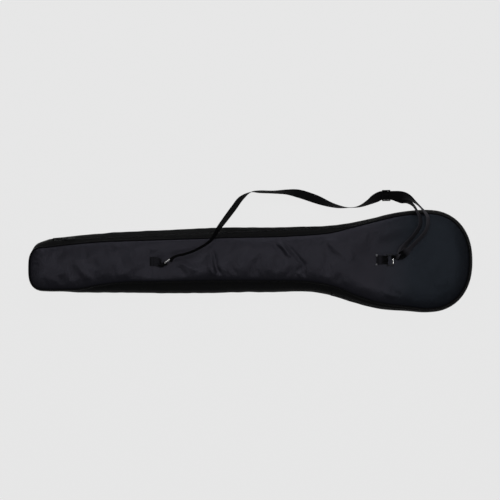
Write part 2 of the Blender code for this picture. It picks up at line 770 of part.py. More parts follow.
OUTER_ROUTE = [
    strap_row(0.3400, 0.1670, 0.0015, 160),
    strap_row(0.3550, 0.1746, MAIN_REST, 180, 0.0240),
    strap_row(0.3690, 0.1750, MAIN_REST, 180, 0.0240),
    strap_row(0.3900, 0.1755, MAIN_REST, 180, 0.0240),
    strap_row(0.4080, 0.1745, 0.0045, 178),
    strap_row(0.4240, 0.1700, 0.0130, 146),
    strap_row(0.4390, 0.1600, 0.0260, 116),
    strap_row(0.4560, 0.1450, 0.0410, 104),
    strap_row(0.4690, 0.1300, 0.0490, 110),
    strap_row(0.4775, 0.1160, TOP, 116),
    strap_row(0.4787, 0.1015, TOP, 118),
    strap_row(0.4760, 0.0860, TOP, 118),
    strap_row(0.4685, 0.0716, TOP, 118),
    strap_row(0.4560, 0.0575, TOP, 118),
    strap_row(0.4423, 0.0440, TOP, 118),
    strap_row(0.4300, 0.0310, TOP, 120),
    strap_row(0.4175, 0.0195, TOP + 0.0010, 138, 0.017),
    strap_row(0.4075, 0.0120, TOP + 0.0025, 160, 0.010),
]
INNER_ROUTE = [
    strap_row(0.4100, 0.1670, 0.0005, 178),
    strap_row(0.4210, 0.1605, 0.0040, 152),
    strap_row(0.4325, 0.1525, 0.0200, 120),
    strap_row(0.4428, 0.1418, 0.0380, 108),
    strap_row(0.4512, 0.1270, 0.0490, 110),
    strap_row(0.4570, 0.1130, TOP, 115),
    strap_row(0.4582, 0.1010, TOP, 118),
    strap_row(0.4550, 0.0885, TOP, 118),
    strap_row(0.4479, 0.0762, TOP, 118),
    strap_row(0.4358, 0.0605, TOP, 118),
    strap_row(0.4215, 0.0455, TOP, 120),
    strap_row(0.4110, 0.0330, TOP + 0.0010, 130, 0.017),
    strap_row(0.4060, 0.0235, TOP + 0.0025, 150, 0.010),
]


def smooth_strap(route, step=0.016):
    """A route's rows closer together, each with the way that the strap runs there."""
    rows = smooth_open(route, step)
    places = [Vector(row[:3]) for row in rows]
    last = len(rows) - 1
    ways = [(places[min(i + 1, last)] - places[max(i - 1, 0)]).normalized() for i in range(last + 1)]
    return [(place, way, row[3], row[4]) for place, way, row in zip(places, ways, rows)]


def webbing(name, rows, parent=None):
    """Webbing through a smoothed strap's rows."""
    sections = []
    for here, way, roll, width in rows:
        level = Vector((-way.y, way.x, 0.0)).normalized()
        up = way.cross(level)
        across = level * math.cos(roll) + up * math.sin(roll)
        face = way.cross(across)
        half_w, half_t = across * (width / 2), face * (WEBBING_T / 2)
        section = [here + half_w + half_t, here - half_w + half_t]
        sections.append(section + [here - half_w - half_t, here + half_w - half_t])
    return solid(name, sections, "webbing", parent)


def cut_strap(rows, after_x):
    """Splits rows at the first one past this x, and leaves a small gap there."""
    cut = next(i for i, row in enumerate(rows) if row[0].x > after_x and i > 3)
    place, way, roll, width = rows[cut]
    return rows[: cut + 1], [(place + way * 2 * GAP, way, roll, width)] + rows[cut + 1 :]


def strap_adjuster():
    """The three-bar buckle that sets the strap's length. Its own X is the way that it slides."""
    empty = pivot("strap_adjuster_pivot", ADJUSTER_AT, ADJUSTER_WAY)
    half = 0.0110
    rail = WEBBING / 2 + 0.0007
    side = rail + 0.0026
    boxes = [
        ((-half, rail, 0.0004), (half, side, 0.0062)),
        ((-half, -side, 0.0004), (half, -rail, 0.0062)),
        ((-half, -side + 0.0005, 0.0042), (-half + 0.0028, side - 0.0005, 0.0064)),
        ((half - 0.0028, -side + 0.0005, 0.0042), (half, side - 0.0005, 0.0064)),
        ((-0.0016, -side + 0.0005, 0.0003), (0.0016, side - 0.0005, 0.0016)),
    ]
    union_of_boxes("strap_adjuster", boxes, "buckle", empty)


def shoulder_strap(flap):
    main, outer = cut_strap(smooth_strap(MAIN_ROUTE + OUTER_ROUTE), 0.3240)
    webbing("strap_main", main)
    held_by(flap, webbing("strap_outer_run", outer))
    held_by(flap, webbing("strap_return_run", smooth_strap(INNER_ROUTE)))
    strap_adjuster()


def build():
    clear_scene()
    outline = Outline()
    flap = pivot("flap_pivot", (FOLD_X, 0.0, THICKNESS + 0.0002))
    sewn_bag(outline, flap)
    zip_slider()
    zip_pull()
    zip_stops(outline)
    tabs_and_rings()
    shoulder_strap(flap)


build()
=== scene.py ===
"""The looks of a long padded carrying bag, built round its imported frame.

Metres, +Z up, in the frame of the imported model: +X runs from the narrow end to the wide end, +Y is the
side of the zip, and the bag lies on its back with its front panel facing up.
"""

import bisect
import math

import bmesh
import bpy
import numpy as np
from mathutils import Matrix, Vector, kdtree, noise


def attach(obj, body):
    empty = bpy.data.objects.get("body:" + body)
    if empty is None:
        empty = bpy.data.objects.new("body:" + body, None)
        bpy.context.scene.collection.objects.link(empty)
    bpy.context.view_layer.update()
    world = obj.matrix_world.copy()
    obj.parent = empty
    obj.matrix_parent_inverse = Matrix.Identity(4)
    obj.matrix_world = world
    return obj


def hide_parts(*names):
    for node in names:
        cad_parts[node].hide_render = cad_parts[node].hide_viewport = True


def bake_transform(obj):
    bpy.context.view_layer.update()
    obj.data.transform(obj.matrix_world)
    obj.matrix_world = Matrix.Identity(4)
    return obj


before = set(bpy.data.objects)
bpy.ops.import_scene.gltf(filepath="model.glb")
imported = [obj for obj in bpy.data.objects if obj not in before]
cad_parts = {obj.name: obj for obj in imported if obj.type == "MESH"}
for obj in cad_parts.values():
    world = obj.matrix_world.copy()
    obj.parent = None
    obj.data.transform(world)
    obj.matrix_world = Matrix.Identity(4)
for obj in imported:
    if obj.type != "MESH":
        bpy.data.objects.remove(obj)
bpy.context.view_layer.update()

# ---------------------------------------------------------------- dimensions shared with the frame
FABRIC = 0.0012  # outer cloth
PIPING_R = 0.0025
THICKNESS = 0.0480  # floor to the top of the front panel
SEAM_FRONT_Z = THICKNESS - PIPING_R
SEAM_BACK_Z = PIPING_R + 0.0003
BELLY_Z = 0.0190  # height at which the side wall stands out furthest
FOLD_X = 0.2250  # the flap folds here
ZIP_START_X = -0.5300
ZIP_Z = 0.0335
ZIP_LINE = (Vector((-0.512, 0.0535)), Vector((0.217, 0.0860)))
ZIP_TILT = math.radians(45)
ZIP_SHARE = 0.72  # how far out the zip lies, as a share of the wall's bulge
BULGE_DROP = 0.0260
WEBBING = 0.0250
WEBBING_T = 0.0015
WALL_TOP = SEAM_FRONT_Z - PIPING_R - 0.0008
WALL_BOTTOM = SEAM_BACK_Z + PIPING_R + 0.0008

# centre x, centre y, length, half width and power of the two rounded ends
HEAD = (0.478, -0.003, 0.114, 0.1290, 2.25)
FOOT = (-0.545, -0.0225, 0.050, 0.0580, 3.1)
HEAD_BULGE = 0.0085
FOOT_BULGE = 0.0050
SHOULDER_BULGE = 0.0190

# The long edges of the front panel: x, y, and how far the side wall bulges out.
UPPER_EDGE = [
    (-0.500, 0.0410, 0.021),
    (-0.404, 0.0498, 0.023),
    (-0.242, 0.0554, 0.026),
    (-0.066, 0.0608, 0.027),
    (0.109, 0.0656, 0.023),
    (0.217, 0.0743, 0.019),
    (0.271, 0.0878, 0.013),
    (0.339, 0.1053, 0.009),
    (0.406, 0.1200, 0.0085),
]
LOWER_EDGE = [
    (0.420, -0.1256, 0.011),
    (0.352, -0.1168, 0.015),
    (0.285, -0.0959, 0.019),
    (0.231, -0.0735, 0.025),
    (0.163, -0.0594, 0.027),
    (0.055, -0.0567, 0.031),
    (-0.107, -0.0567, 0.033),
    (-0.260, -0.0595, 0.030),
    (-0.340, -0.0610, 0.028),
    (-0.405, -0.0680, 0.021),
    (-0.460, -0.0785, 0.010),
    (-0.510, -0.0800, 0.006),
]


# ---------------------------------------------------------------- materials
class Nodes:
    """A material's node tree, with short calls for adding and linking nodes."""

    def __init__(self, name):
        self.material = bpy.data.materials.new(name)
        self.material.use_nodes = True
        self.tree = self.material.node_tree
        self.shader = self.tree.nodes["Principled BSDF"]

    def add(self, kind, **settings):
        node = self.tree.nodes.new("ShaderNode" + kind)
        for name, value in settings.items():
            if hasattr(node, name):
                setattr(node, name, value)
            else:
                node.inputs[name.replace("_", " ")].default_value = value
        return node

    def link(self, source, target):
        self.tree.links.new(source, target)

    def math(self, operation, a, b=None):
        node = self.add("Math", operation=operation)
        for socket, value in zip(node.inputs, (a, b)):
            if isinstance(value, bpy.types.NodeSocket):
                self.link(value, socket)
            elif value is not None:
                socket.default_value = value
        return node.outputs[0]

    def set(self, **values):
        for name, value in values.items():
            self.shader.inputs[name.replace("_", " ")].default_value = value

    def feed(self, output, socket):
        """Links an output to one of the shader's own sockets."""
        self.link(output, self.shader.inputs[socket])

    def millimetres(self):
        """The piece's own cloth coordinates: across and along the weave, in millimetres."""
        uv = self.add("UVMap", uv_map="weave")
        scale = self.add("VectorMath", operation="SCALE", Scale=1000.0)
        self.link(uv.outputs["UV"], scale.inputs[0])
        return scale.outputs[0]

    def split(self, vector):
        parts = self.add("SeparateXYZ")
        self.link(vector, parts.inputs[0])
        return parts.outputs[0], parts.outputs[1]

    def noise(self, vector, scale, detail=3.0):
        node = self.add("TexNoise", Scale=scale, Detail=detail)
        self.link(vector, node.inputs["Vector"])
        return node.outputs[0]

    def mapped(self, value, **ends):
        node = self.add("MapRange", **ends)
        self.link(value, node.inputs["Value"])
        return node.outputs["Result"]

    def share_between(self, value, start, end):
        return self.mapped(value, From_Min=start, From_Max=end)

    def away_from(self, value, place):
        return self.math("ABSOLUTE", self.math("SUBTRACT", value, place))

    def rough(self, value, low, high):
        """Roughness from low to high where the value goes from 0 to 1."""
        self.feed(self.mapped(value, To_Min=low, To_Max=high), "Roughness")

    def mixed(self, share, first, second):
        """A colour between two others. Each may be a colour or another node's output."""
        node = self.add("Mix", data_type="RGBA")
        self.link(share, node.inputs["Factor"])
        for socket, colour in (("A", first), ("B", second)):
            if isinstance(colour, bpy.types.NodeSocket):
                self.link(colour, node.inputs[socket])
            else:
                node.inputs[socket].default_value = (*colour, 1)
        return node.outputs["Result"]

    def colour(self, share, first, second):
        self.feed(self.mixed(share, first, second), "Base Color")

    def bump(self, height, strength, distance):
        node = self.add("Bump", Strength=strength, Distance=distance)
        self.link(height, node.inputs["Height"])
        self.feed(node.outputs[0], "Normal")


def cloth_nodes(name):
    """A new material's nodes, and its cloth coordinates in millimetres: together, across and along."""
    n = Nodes(name)
    mm = n.millimetres()
    return n, mm, *n.split(mm)


def threads(n, x, y, pitch):
    """Height of a plain weave with this thread spacing: each thread rises where it crosses over."""
    wave_x = n.math("SINE", n.math("MULTIPLY", x, math.pi / pitch))
    wave_y = n.math("SINE", n.math("MULTIPLY", y, math.pi / pitch))
    over = n.math("MULTIPLY", wave_x, wave_y)
    return n.math("ADD", n.math("ABSOLUTE", wave_x), n.math("MULTIPLY", over, 0.6))


def woven(name, dark, light, pitch, roughness, gloss, strength=0.5, painted_shade_tints=None):
    """Woven cloth, a little paler in broad patches and polished where it has rubbed. tints are the colours
    of its shine before and after SHINE_CHANGES: painted shade, its reflection darker and bluer towards the
    wide end, for how the light falls there."""
    n, mm, x, y = cloth_nodes(name)
    broad = n.noise(mm, 0.012, 4.0)
    slubs = n.noise(mm, 0.9, 2.0)
    n.colour(n.math("MULTIPLY", n.math("ADD", broad, slubs), 0.5), dark, light)
    n.rough(broad, roughness - 0.10, roughness + 0.10)
    n.bump(n.math("ADD", threads(n, x, y, pitch), n.math("MULTIPLY", slubs, 0.8)), strength, 0.00012)
    n.set(Sheen_Weight=0.02, Sheen_Roughness=0.5, Specular_IOR_Level=gloss)
    if painted_shade_tints:
        # painted shade: the reflection's tint changes along the bag, darker and bluer on the wide end
        n.feed(n.mixed(n.share_between(x, *SHINE_CHANGES), *painted_shade_tints), "Specular Tint")
    return n.material


def webbing_material(name, dark, light, lighter_where=None, lighter_tones=None):
    """Flat woven webbing: ribs along its length and fine weft across. worn is a place along it, and how
    far from there it starts to turn to a second, lighter pair of tones and is wholly so, in millimetres:
    painted light on the strap's runs where their faces catch the lamps over the wide end, and lighter tail
    ends on the tabs."""
    n, mm, x, y = cloth_nodes(name)
    slubs = n.noise(mm, 0.5, 3.0)
    ribs = n.math("ABSOLUTE", n.math("SINE", n.math("MULTIPLY", x, math.pi / 1.9)))
    weft = n.math("ABSOLUTE", n.math("SINE", n.math("ADD", n.math("MULTIPLY", y, math.pi / 0.9), ribs)))
    height = n.math("ADD", n.math("MULTIPLY", ribs, 0.7), n.math("MULTIPLY", weft, 0.4))
    tone = n.mixed(n.math("MULTIPLY", n.math("ADD", slubs, height), 0.5), dark, light)
    # away from one place along it the webbing turns lighter: painted light on the strap's runs over the wide
    # end, lighter tail ends on the tabs
    if lighter_where:
        share = n.share_between(n.away_from(y, lighter_where[0]), *lighter_where[1:])
        tone = n.mixed(share, tone, n.mixed(height, *lighter_tones))
    n.feed(tone, "Base Color")
    n.rough(slubs, 0.67, 0.85)
    n.bump(height, 0.6, 0.00025)
    n.set(Specular_IOR_Level=0.06)
    return n.material


def cord_cloth(name, dark, light):
    """Cloth wrapped round a cord on the bias."""
    n, mm, x, y = cloth_nodes(name)
    slant = n.math("ADD", x, y)
    counter = n.math("SUBTRACT", x, y)
    broad = n.noise(mm, 0.05, 3.0)
    n.colour(broad, dark, light)
    n.rough(broad, 0.45, 0.70)
    n.bump(threads(n, slant, counter, 0.9), 0.4, 0.00012)
    n.set(Specular_IOR_Level=0.10)
    return n.material


def hard(name, dark, light, metallic, roughness, grain=0.6, gloss=0.5):
    """Moulded plastic or cast metal: fine grain, with rubbed patches that are smoother."""
    n = Nodes(name)
    mm = n.millimetres()
    fine = n.noise(mm, 1.5, 4.0)
    lighter_where = n.noise(mm, 0.25, 2.0)
    n.colour(lighter_where, dark, light)
    n.rough(lighter_where, roughness - 0.12, roughness + 0.12)
    n.bump(fine, grain, 0.00004)
    n.set(Metallic=metallic, Specular_IOR_Level=gloss)
    return n.material


def glint_painted_wire(name, glint_at):
    """Steel wire with a painted glint: bright nickel round one place along it, in millimetres, and painted
    dark elsewhere so that the rest shows no glint.
    """
    n, mm, _, y = cloth_nodes(name)
    fine = n.noise(mm, 1.2, 4.0)
    away = n.away_from(y, glint_at)
    # painted glint: bright within about 11 mm of that place, painted dark beyond
    off_glint = n.share_between(n.math("ADD", away, n.math("MULTIPLY", fine, 2.0)), 10.5, 12.0)
    n.colour(off_glint, (0.86, 0.85, 0.83), (0.035, 0.035, 0.037))
    n.rough(off_glint, 0.16, 0.34)
    n.bump(fine, 0.2, 0.00003)
    n.set(Metallic=1.0)
    return n.material


SHINE_CHANGES = (330, 440)  # millimetres along the bag over which the panel's shine turns to its painted shade
PANEL_TONES = ((0.0042, 0.0042, 0.0055), (0.0070, 0.0070, 0.0091))
WEBBING_TONES = ((0.0030, 0.0030, 0.0032), (0.0066, 0.0066, 0.0070))
# painted light: lighter strap webbing where its faces catch the lamps over the wide end
PAINTED_LIGHT_WEBBING = ((0.0400, 0.0385, 0.0440), (0.0750, 0.0725, 0.0830))
# lighter tones for the tail ends of the two tabs
TAB_TAIL_TONES = ((0.0140, 0.0135, 0.0160), (0.0250, 0.0240, 0.0290))
# painted shade: the panel's reflection, darker and bluer towards the wide end, for how the light falls there
PAINTED_SHADE_SHINE = ((0.84, 0.81, 1.0), (0.49, 0.60, 0.75))
MAT = {
    "panel": woven("nylon_panel", *PANEL_TONES, 0.55, 0.4, 0.5, painted_shade_tints=PAINTED_SHADE_SHINE),
    "gusset": woven("nylon_gusset", (0.0052, 0.0052, 0.0054), (0.0090, 0.0090, 0.0092), 0.55, 0.65, 0.10),
    "lining": woven("lining_taffeta", (0.010, 0.010, 0.012), (0.018, 0.018, 0.022), 0.30, 0.5, 0.2, 0.25),
    "binding": woven("binding_tape", (0.006, 0.006, 0.007), (0.011, 0.011, 0.012), 0.45, 0.65, 0.1),
    "tape": woven("zip_tape", (0.003, 0.003, 0.0035), (0.005, 0.005, 0.0055), 0.40, 0.65, 0.1),
    "piping": cord_cloth("piping_cloth", (0.0018, 0.0018, 0.0022), (0.0036, 0.0036, 0.0044)),
    "webbing": webbing_material("strap_webbing", *WEBBING_TONES),
    # the outer, return and end pieces of the strap turn to painted light where they ride over the wide end
    "outer_webbing": webbing_material("strap_webbing_outer", *WEBBING_TONES, (0, 140, 185), PAINTED_LIGHT_WEBBING),
    "return_webbing": webbing_material("strap_webbing_return", *WEBBING_TONES, (0, 72, 108), PAINTED_LIGHT_WEBBING),
    "end_webbing": webbing_material("strap_webbing_end", *WEBBING_TONES, (88, 26, 40), PAINTED_LIGHT_WEBBING),
    # the tabs turn lighter towards their tail ends
    "left_tab": webbing_material("left_tab_webbing", *WEBBING_TONES, (0, 60, 84), TAB_TAIL_TONES),
    "right_tab": webbing_material("right_tab_webbing", *WEBBING_TONES, (0, 44, 52), TAB_TAIL_TONES),
    "coil": hard("zip_coil", (0.004, 0.004, 0.0045), (0.008, 0.008, 0.009), 0.0, 0.4),
    "slider": hard("enamelled_zinc", (0.008, 0.008, 0.009), (0.020, 0.020, 0.022), 0.3, 0.38, 0.3),
    # painted glints where each ring catches the light
    "left_ring": glint_painted_wire("left_ring_painted_glint", 10.0),
    "right_ring": glint_painted_wire("right_ring_painted_glint", 74.0),
    "buckle": hard("moulded_acetal", (0.002, 0.002, 0.0022), (0.004, 0.004, 0.0045), 0.0, 0.8, 0.7, 0.15),
    "thread": webbing_material("sewing_thread", (0.005, 0.005, 0.006), (0.012, 0.012, 0.013)),
    # painted glints: pale thread for the light caught at the right tab's bar tack ends
    "glint_thread": webbing_material("pale_glint_thread", (0.38, 0.38, 0.39), (0.55, 0.55, 0.56)),
}


# ---------------------------------------------------------------- lines, meshes and pieces
def ease(t):
    t = min(1.0, max(0.0, t))
    return t * t * (3 - 2 * t)


def spread(start, end, count):
    """Values from start to end in count equal steps."""
    return [start + (end - start) * k / count for k in range(count + 1)]


def once_round(count):
    """Evenly spaced angles, once round."""
    return [2 * math.pi * k / count for k in range(count)]


def headings(points):
    """The way that a line runs at each of its points."""
    last = len(points) - 1
    return [(points[min(i + 1, last)] - points[max(i - 1, 0)]).normalized() for i in range(last + 1)]


def running_length(points):
    """How far along a line each of its points is."""
    out = [0.0]
    for a, b in zip(points, points[1:]):
        out.append(out[-1] + (b - a).length)
    return out


def placed(name, data):
    """An object with this data, in the scene."""
    obj = bpy.data.objects.new(name, data)
    bpy.context.scene.collection.objects.link(obj)
    return obj


def put(name, verts, faces, corners, finish, smooth_deg=40, second=None, second_from=None):
    """Makes an object. corners is one cloth coordinate, in metres, for each corner of each face. Faces
    from number second_from on take the second finish."""
    mesh = bpy.data.meshes.new(name)
    mesh.from_pydata([tuple(v) for v in verts], [], faces)
    weave = mesh.uv_layers.new(name="weave")
    weave.data.foreach_set("uv", np.asarray(corners, np.float32).ravel())
    mesh.materials.append(MAT[finish])
    if second:
        mesh.materials.append(MAT[second])
        index = np.zeros(len(mesh.polygons), np.int32)
        index[second_from:] = 1
        mesh.polygons.foreach_set("material_index", index)
    bm = bmesh.new()
    bm.from_mesh(mesh)
    bmesh.ops.recalc_face_normals(bm, faces=bm.faces)
    bm.to_mesh(mesh)
    bm.free()
    mesh.shade_smooth()
    mesh.set_sharp_from_angle(angle=math.radians(smooth_deg))
    obj = placed(name, mesh)
    return obj


class Parts:
    """Vertices, faces and cloth coordinates of one mesh, gathered from several lofts."""

    def __init__(self):
        self.verts, self.faces, self.corners = [], [], []

    def loft(self, sections, closed=False):
        """Joins sections, each a closed loop of the same number of points, and caps an open row's ends."""
        grid = np.asarray([[tuple(p) for p in s] for s in sections], float)
        n, k, _ = grid.shape
        base = len(self.verts)
        self.verts += [tuple(p) for p in grid.reshape(-1, 3)]
        middle = grid.mean(axis=1)
        along = np.concatenate([[0], np.cumsum(np.linalg.norm(np.diff(middle, axis=0), axis=1))])
        along = np.append(along, along[-1] + np.linalg.norm(middle[0] - middle[-1]))
        loop = np.concatenate([grid[n // 2], grid[n // 2][:1]])
        around = np.concatenate([[0], np.cumsum(np.linalg.norm(np.diff(loop, axis=0), axis=1))])
        for i in range(n if closed else n - 1):
            a, b = base + i * k, base + (i + 1) % n * k
            for j in range(k):
                after = (j + 1) % k
                self.faces.append((a + j, a + after, b + after, b + j))
                u0, u1, v0, v1 = around[j], around[j + 1], along[i], along[i + 1]
                self.corners += [(u0, v0), (u1, v0), (u1, v1), (u0, v1)]
        if not closed:
            for start in (base, base + (n - 1) * k):
                self.faces.append(tuple(range(start, start + k)))
                self.corners += [(around[j], 0.0) for j in range(k)]
        return self

    def tube(self, path, radius, sides=8, closed=False, up=(0, 0, 1)):
        """A round cord along a path. radius may be one value or one for each point."""
        points = [Vector(p) for p in path]
        count = len(points)
        radii = radius if hasattr(radius, "__len__") else [radius] * count
        sections = []
        side = None
        for i, point in enumerate(points):
            before = points[i - 1] if i or closed else point
            after = points[(i + 1) % count] if i < count - 1 or closed else points[-1]
            way = (after - before).normalized()
            reference = Vector(up) if side is None else side
            side = (reference - way * reference.dot(way)).normalized() if side else way.cross(reference)
            side.normalize()
            other = way.cross(side)
            ring_at = [side * math.cos(a) + other * math.sin(a) for a in once_round(sides)]
            sections.append([point + out * radii[i] for out in ring_at])
        return self.loft(sections, closed)

    def make(self, name, finish, slot, smooth_deg=40):
        return put(name, self.verts, self.faces, self.corners, finish, smooth_deg)


def applied(obj):
    """Bakes an object's modifiers into its mesh."""
    graph = bpy.context.evaluated_depsgraph_get()
    mesh = bpy.data.meshes.new_from_object(obj.evaluated_get(graph))
    obj.modifiers.clear()
    obj.data = mesh
    mesh.shade_smooth()


# ---------------------------------------------------------------- the outline of the bag
def half_superellipse(centre_x, centre_y, length, half_width, power, steps):
    points = []
    toward = 1 if centre_x > 0 else -1
    for angle in spread(math.pi / 2, -math.pi / 2, steps):
        c, s = math.cos(angle), math.sin(angle)
        x = centre_x + toward * length * abs(c) ** (2 / power)
        y = centre_y + toward * half_width * math.copysign(abs(s) ** (2 / power), s)
        points.append((x, y))
    return points


def control_points():
    head = [(x, y, HEAD_BULGE) for x, y in half_superellipse(*HEAD, steps=10)]
    foot = [(x, y, FOOT_BULGE) for x, y in half_superellipse(*FOOT, steps=8)]
    foot[-2] = (*foot[-2][:2], (FOOT_BULGE + SHOULDER_BULGE) / 2)
    foot[-1] = (*foot[-1][:2], SHOULDER_BULGE)
    return UPPER_EDGE + head + LOWER_EDGE + foot


def smooth_closed(points, steps=16):
    """A centripetal Catmull-Rom curve through points, round and back to the first one."""
    count = len(points)
    out = []
    for i in range(count):
        p = [Vector(points[(i + k) % count]) for k in (-1, 0, 1, 2)]
        t = [0.0]
        for a, b in zip(p, p[1:]):
            t.append(t[-1] + max((b.xy - a.xy).length, 1e-6) ** 0.5)
        for k in range(steps):
            u = t[1] + (t[2] - t[1]) * k / steps
            a = [p[j].lerp(p[j + 1], (u - t[j]) / (t[j + 1] - t[j])) for j in range(3)]
            b = [a[j].lerp(a[j + 1], (u - t[j]) / (t[j + 2] - t[j])) for j in range(2)]
            out.append(b[0].lerp(b[1], (u - t[1]) / (t[2] - t[1])))
    return out


TANGENT_REACH = 0.0040  # how far on each side of a place its tangent is taken
STATION_STEP = 0.0050


class Station:
    """One place on the outline: the seam, its outward normal, the wall's bulge, and where the zip is."""

    def __init__(self, at, tangent, bulge, distance):
        self.seam = at
        self.distance = distance
        self.out = Vector((-tangent.y, tangent.x, 0.0)).normalized()
        self.bulge = bulge
        start, end = ZIP_LINE
        along, out = end - start, self.out.xy
        to_line = (start - at.xy).cross(along) / out.cross(along)
        fade = 1.0 if at.y < 0 else ease((at.x - end.x) / 0.15)
        self.zip_out = ZIP_SHARE * bulge if fade == 1.0 else to_line + (ZIP_SHARE * bulge - to_line) * fade
        self.tilt = ZIP_TILT + (math.atan2(bulge, BULGE_DROP) - ZIP_TILT) * fade

    def wall(self, out, z):
        return Vector((*(self.seam + self.out * out).xy, z))

    def by_zip(self, down, face):
        c, s = math.cos(self.tilt), math.sin(self.tilt)
        return self.zip_out + down * s + face * c, ZIP_Z - down * c + face * s

    def on_zip(self, down, face):
        return self.wall(*self.by_zip(down, face))


class Outline:
    """The closed line of the front seam, read by the distance along it."""

    def __init__(self):
        self.points = smooth_closed(control_points())
        self.length = running_length([p.xy for p in self.points + self.points[:1]])
        self.total = self.length[-1]

    def crossing(self, x, upper):
        for i, (a, b) in enumerate(zip(self.points, self.points[1:] + self.points[:1])):
            if (a.y > FOOT[1]) == upper and (a.x - x) * (b.x - x) <= 0 and a.x != b.x:
                return self.length[i] + (b.xy - a.xy).length * (x - a.x) / (b.x - a.x)
        raise ValueError(f"the outline never crosses x = {x}")

    def at(self, distance):
        d = distance % self.total
        i = min(bisect.bisect_left(self.length, d, 1) - 1, len(self.points) - 1)
        share = (d - self.length[i]) / (self.length[i + 1] - self.length[i])
        return self.points[i].lerp(self.points[(i + 1) % len(self.points)], share)

    def station(self, distance):
        here = self.at(distance)
        tangent = self.at(distance + TANGENT_REACH) - self.at(distance - TANGENT_REACH)
        return Station(Vector((here.x, here.y, 0.0)), tangent, here.z, distance)

    def stations(self, start, end, spacing, closed=False):
        if end <= start:
            end += self.total
        places = spread(start, end, max(2, round((end - start) / spacing)))
        return [self.station(place) for place in (places[:-1] if closed else places)]


OUTLINE = Outline()
ZIP_START = OUTLINE.crossing(ZIP_START_X, upper=True) - OUTLINE.total
FOLD_LOWER = OUTLINE.crossing(FOLD_X, upper=False)
ALL_ROUND = OUTLINE.stations(0.0, OUTLINE.total, STATION_STEP, closed=True)
ZIPPED = OUTLINE.stations(ZIP_START, FOLD_LOWER, STATION_STEP)
PLAIN = OUTLINE.stations(FOLD_LOWER, ZIP_START, STATION_STEP)


def ripple(*values):
    return noise.noise(Vector(values))


# ---------------------------------------------------------------- the strap's route, as in the frame
TOP = THICKNESS + 0.0006
MAIN_REST = 0.0020  # the outer run lies this high where the return run is under it
FOLD_DEPTH = 0.25 * 0.55  # how high webbing folds lengthwise where it is gathered


def strap_row(x, y, rests_at, roll_deg, width=WEBBING):
    """A place on the strap's route: its middle, its roll about the route, and its width. rests_at is the
    height of its lowest edge."""
    roll = math.radians(roll_deg)
    rise = width / 2 * abs(math.sin(roll)) + WEBBING_T / 2 * abs(math.cos(roll))
    return (x, y, rests_at + rise, roll, width)


def route(*rows):
    return [strap_row(*row) for row in rows]


MAIN_ROUTE = route(
    (-0.2048, 0.0088, TOP + 0.0050, 75, 0.019),
    (-0.1915, 0.0130, TOP + 0.0020, 76, 0.023),
    (-0.1700, 0.0176, TOP, 76),
    (-0.1450, 0.0275, TOP, 76),
    (-0.1215, 0.0405, TOP, 76),
    (-0.1026, 0.0560, TOP + 0.0010, 72),
    (-0.0850, 0.0850, 0.0400, 64),
    (-0.0675, 0.1094, 0.0170, 57),
    (-0.0440, 0.1410, 0.0015, 54),
    (-0.0250, 0.1660, 0.0005, 60),
    (0.0010, 0.1835, 0.0005, 90),
    (0.0250, 0.1850, 0.0005, 107),
    (0.0640, 0.1840, 0.0005, 110),
    (0.1000, 0.1840, 0.0005, 125),
    (0.1360, 0.1790, 0.0005, 157),
    (0.1760, 0.1660, 0.0005, 160),
    (0.2140, 0.1515, 0.0005, 128),
    (0.2440, 0.1440, 0.0005, 108),
    (0.2720, 0.1420, 0.0005, 91),
    (0.2980, 0.1455, 0.0005, 102),
    (0.3250, 0.1580, 0.0007, 128),
)
OUTER_ROUTE = route(
    (0.3400, 0.1670, 0.0015, 160),
    (0.3550, 0.1746, MAIN_REST, 180, 0.0240),
    (0.3690, 0.1750, MAIN_REST, 180, 0.0240),
    (0.3900, 0.1755, MAIN_REST, 180, 0.0240),
    (0.4080, 0.1745, 0.0045, 178),
    (0.4240, 0.1700, 0.0130, 146),
    (0.4390, 0.1600, 0.0260, 116),
    (0.4560, 0.1450, 0.0410, 104),
    (0.4690, 0.1300, 0.0490, 110),
    (0.4775, 0.1160, TOP, 116),
    (0.4787, 0.1015, TOP, 118),
    (0.4760, 0.0860, TOP, 118),
    (0.4685, 0.0716, TOP, 118),
    (0.4560, 0.0575, TOP, 118),
    (0.4423, 0.0440, TOP, 118),
    (0.4300, 0.0315, TOP, 124),
    (0.4170, 0.0190, TOP + 0.0010, 148, 0.024),
    (0.4045, 0.0105, TOP + 0.0028, 168, 0.021),
)
INNER_ROUTE = route(
    (0.4100, 0.1670, 0.0005, 178),
    (0.4210, 0.1605, 0.0040, 152),
    (0.4325, 0.1525, 0.0200, 120),
    (0.4428, 0.1418, 0.0380, 108),
    (0.4512, 0.1270, 0.0490, 110),
    (0.4570, 0.1130, TOP, 115),
    (0.4582, 0.1010, TOP, 118),
    (0.4550, 0.0885, TOP, 118),
    (0.4479, 0.0762, TOP, 118),
    (0.4358, 0.0605, TOP, 118),
    (0.4215, 0.0455, TOP, 120),
    (0.4105, 0.0325, TOP + 0.0008, 138, 0.022),
    (0.4035, 0.0215, TOP + 0.0018, 158, 0.017),
)


def smooth_open(points, step):
    rows = [Vector(p) for p in points]
    rows = [2 * rows[0] - rows[1]] + rows + [2 * rows[-1] - rows[-2]]
    out = []
    for p0, p1, p2, p3 in zip(rows, rows[1:], rows[2:], rows[3:]):
        count = max(1, round(Vector((p2 - p1)[:3]).length / step))
        for k in range(count):
            t = k / count
            a = 2 * p1
            b = (p2 - p0) * t
            c = (2 * p0 - 5 * p1 + 4 * p2 - p3) * t * t
            d = (3 * p1 - p0 - 3 * p2 + p3) * t**3
            out.append((a + b + c + d) / 2)
    out.append(rows[-2])
    return out


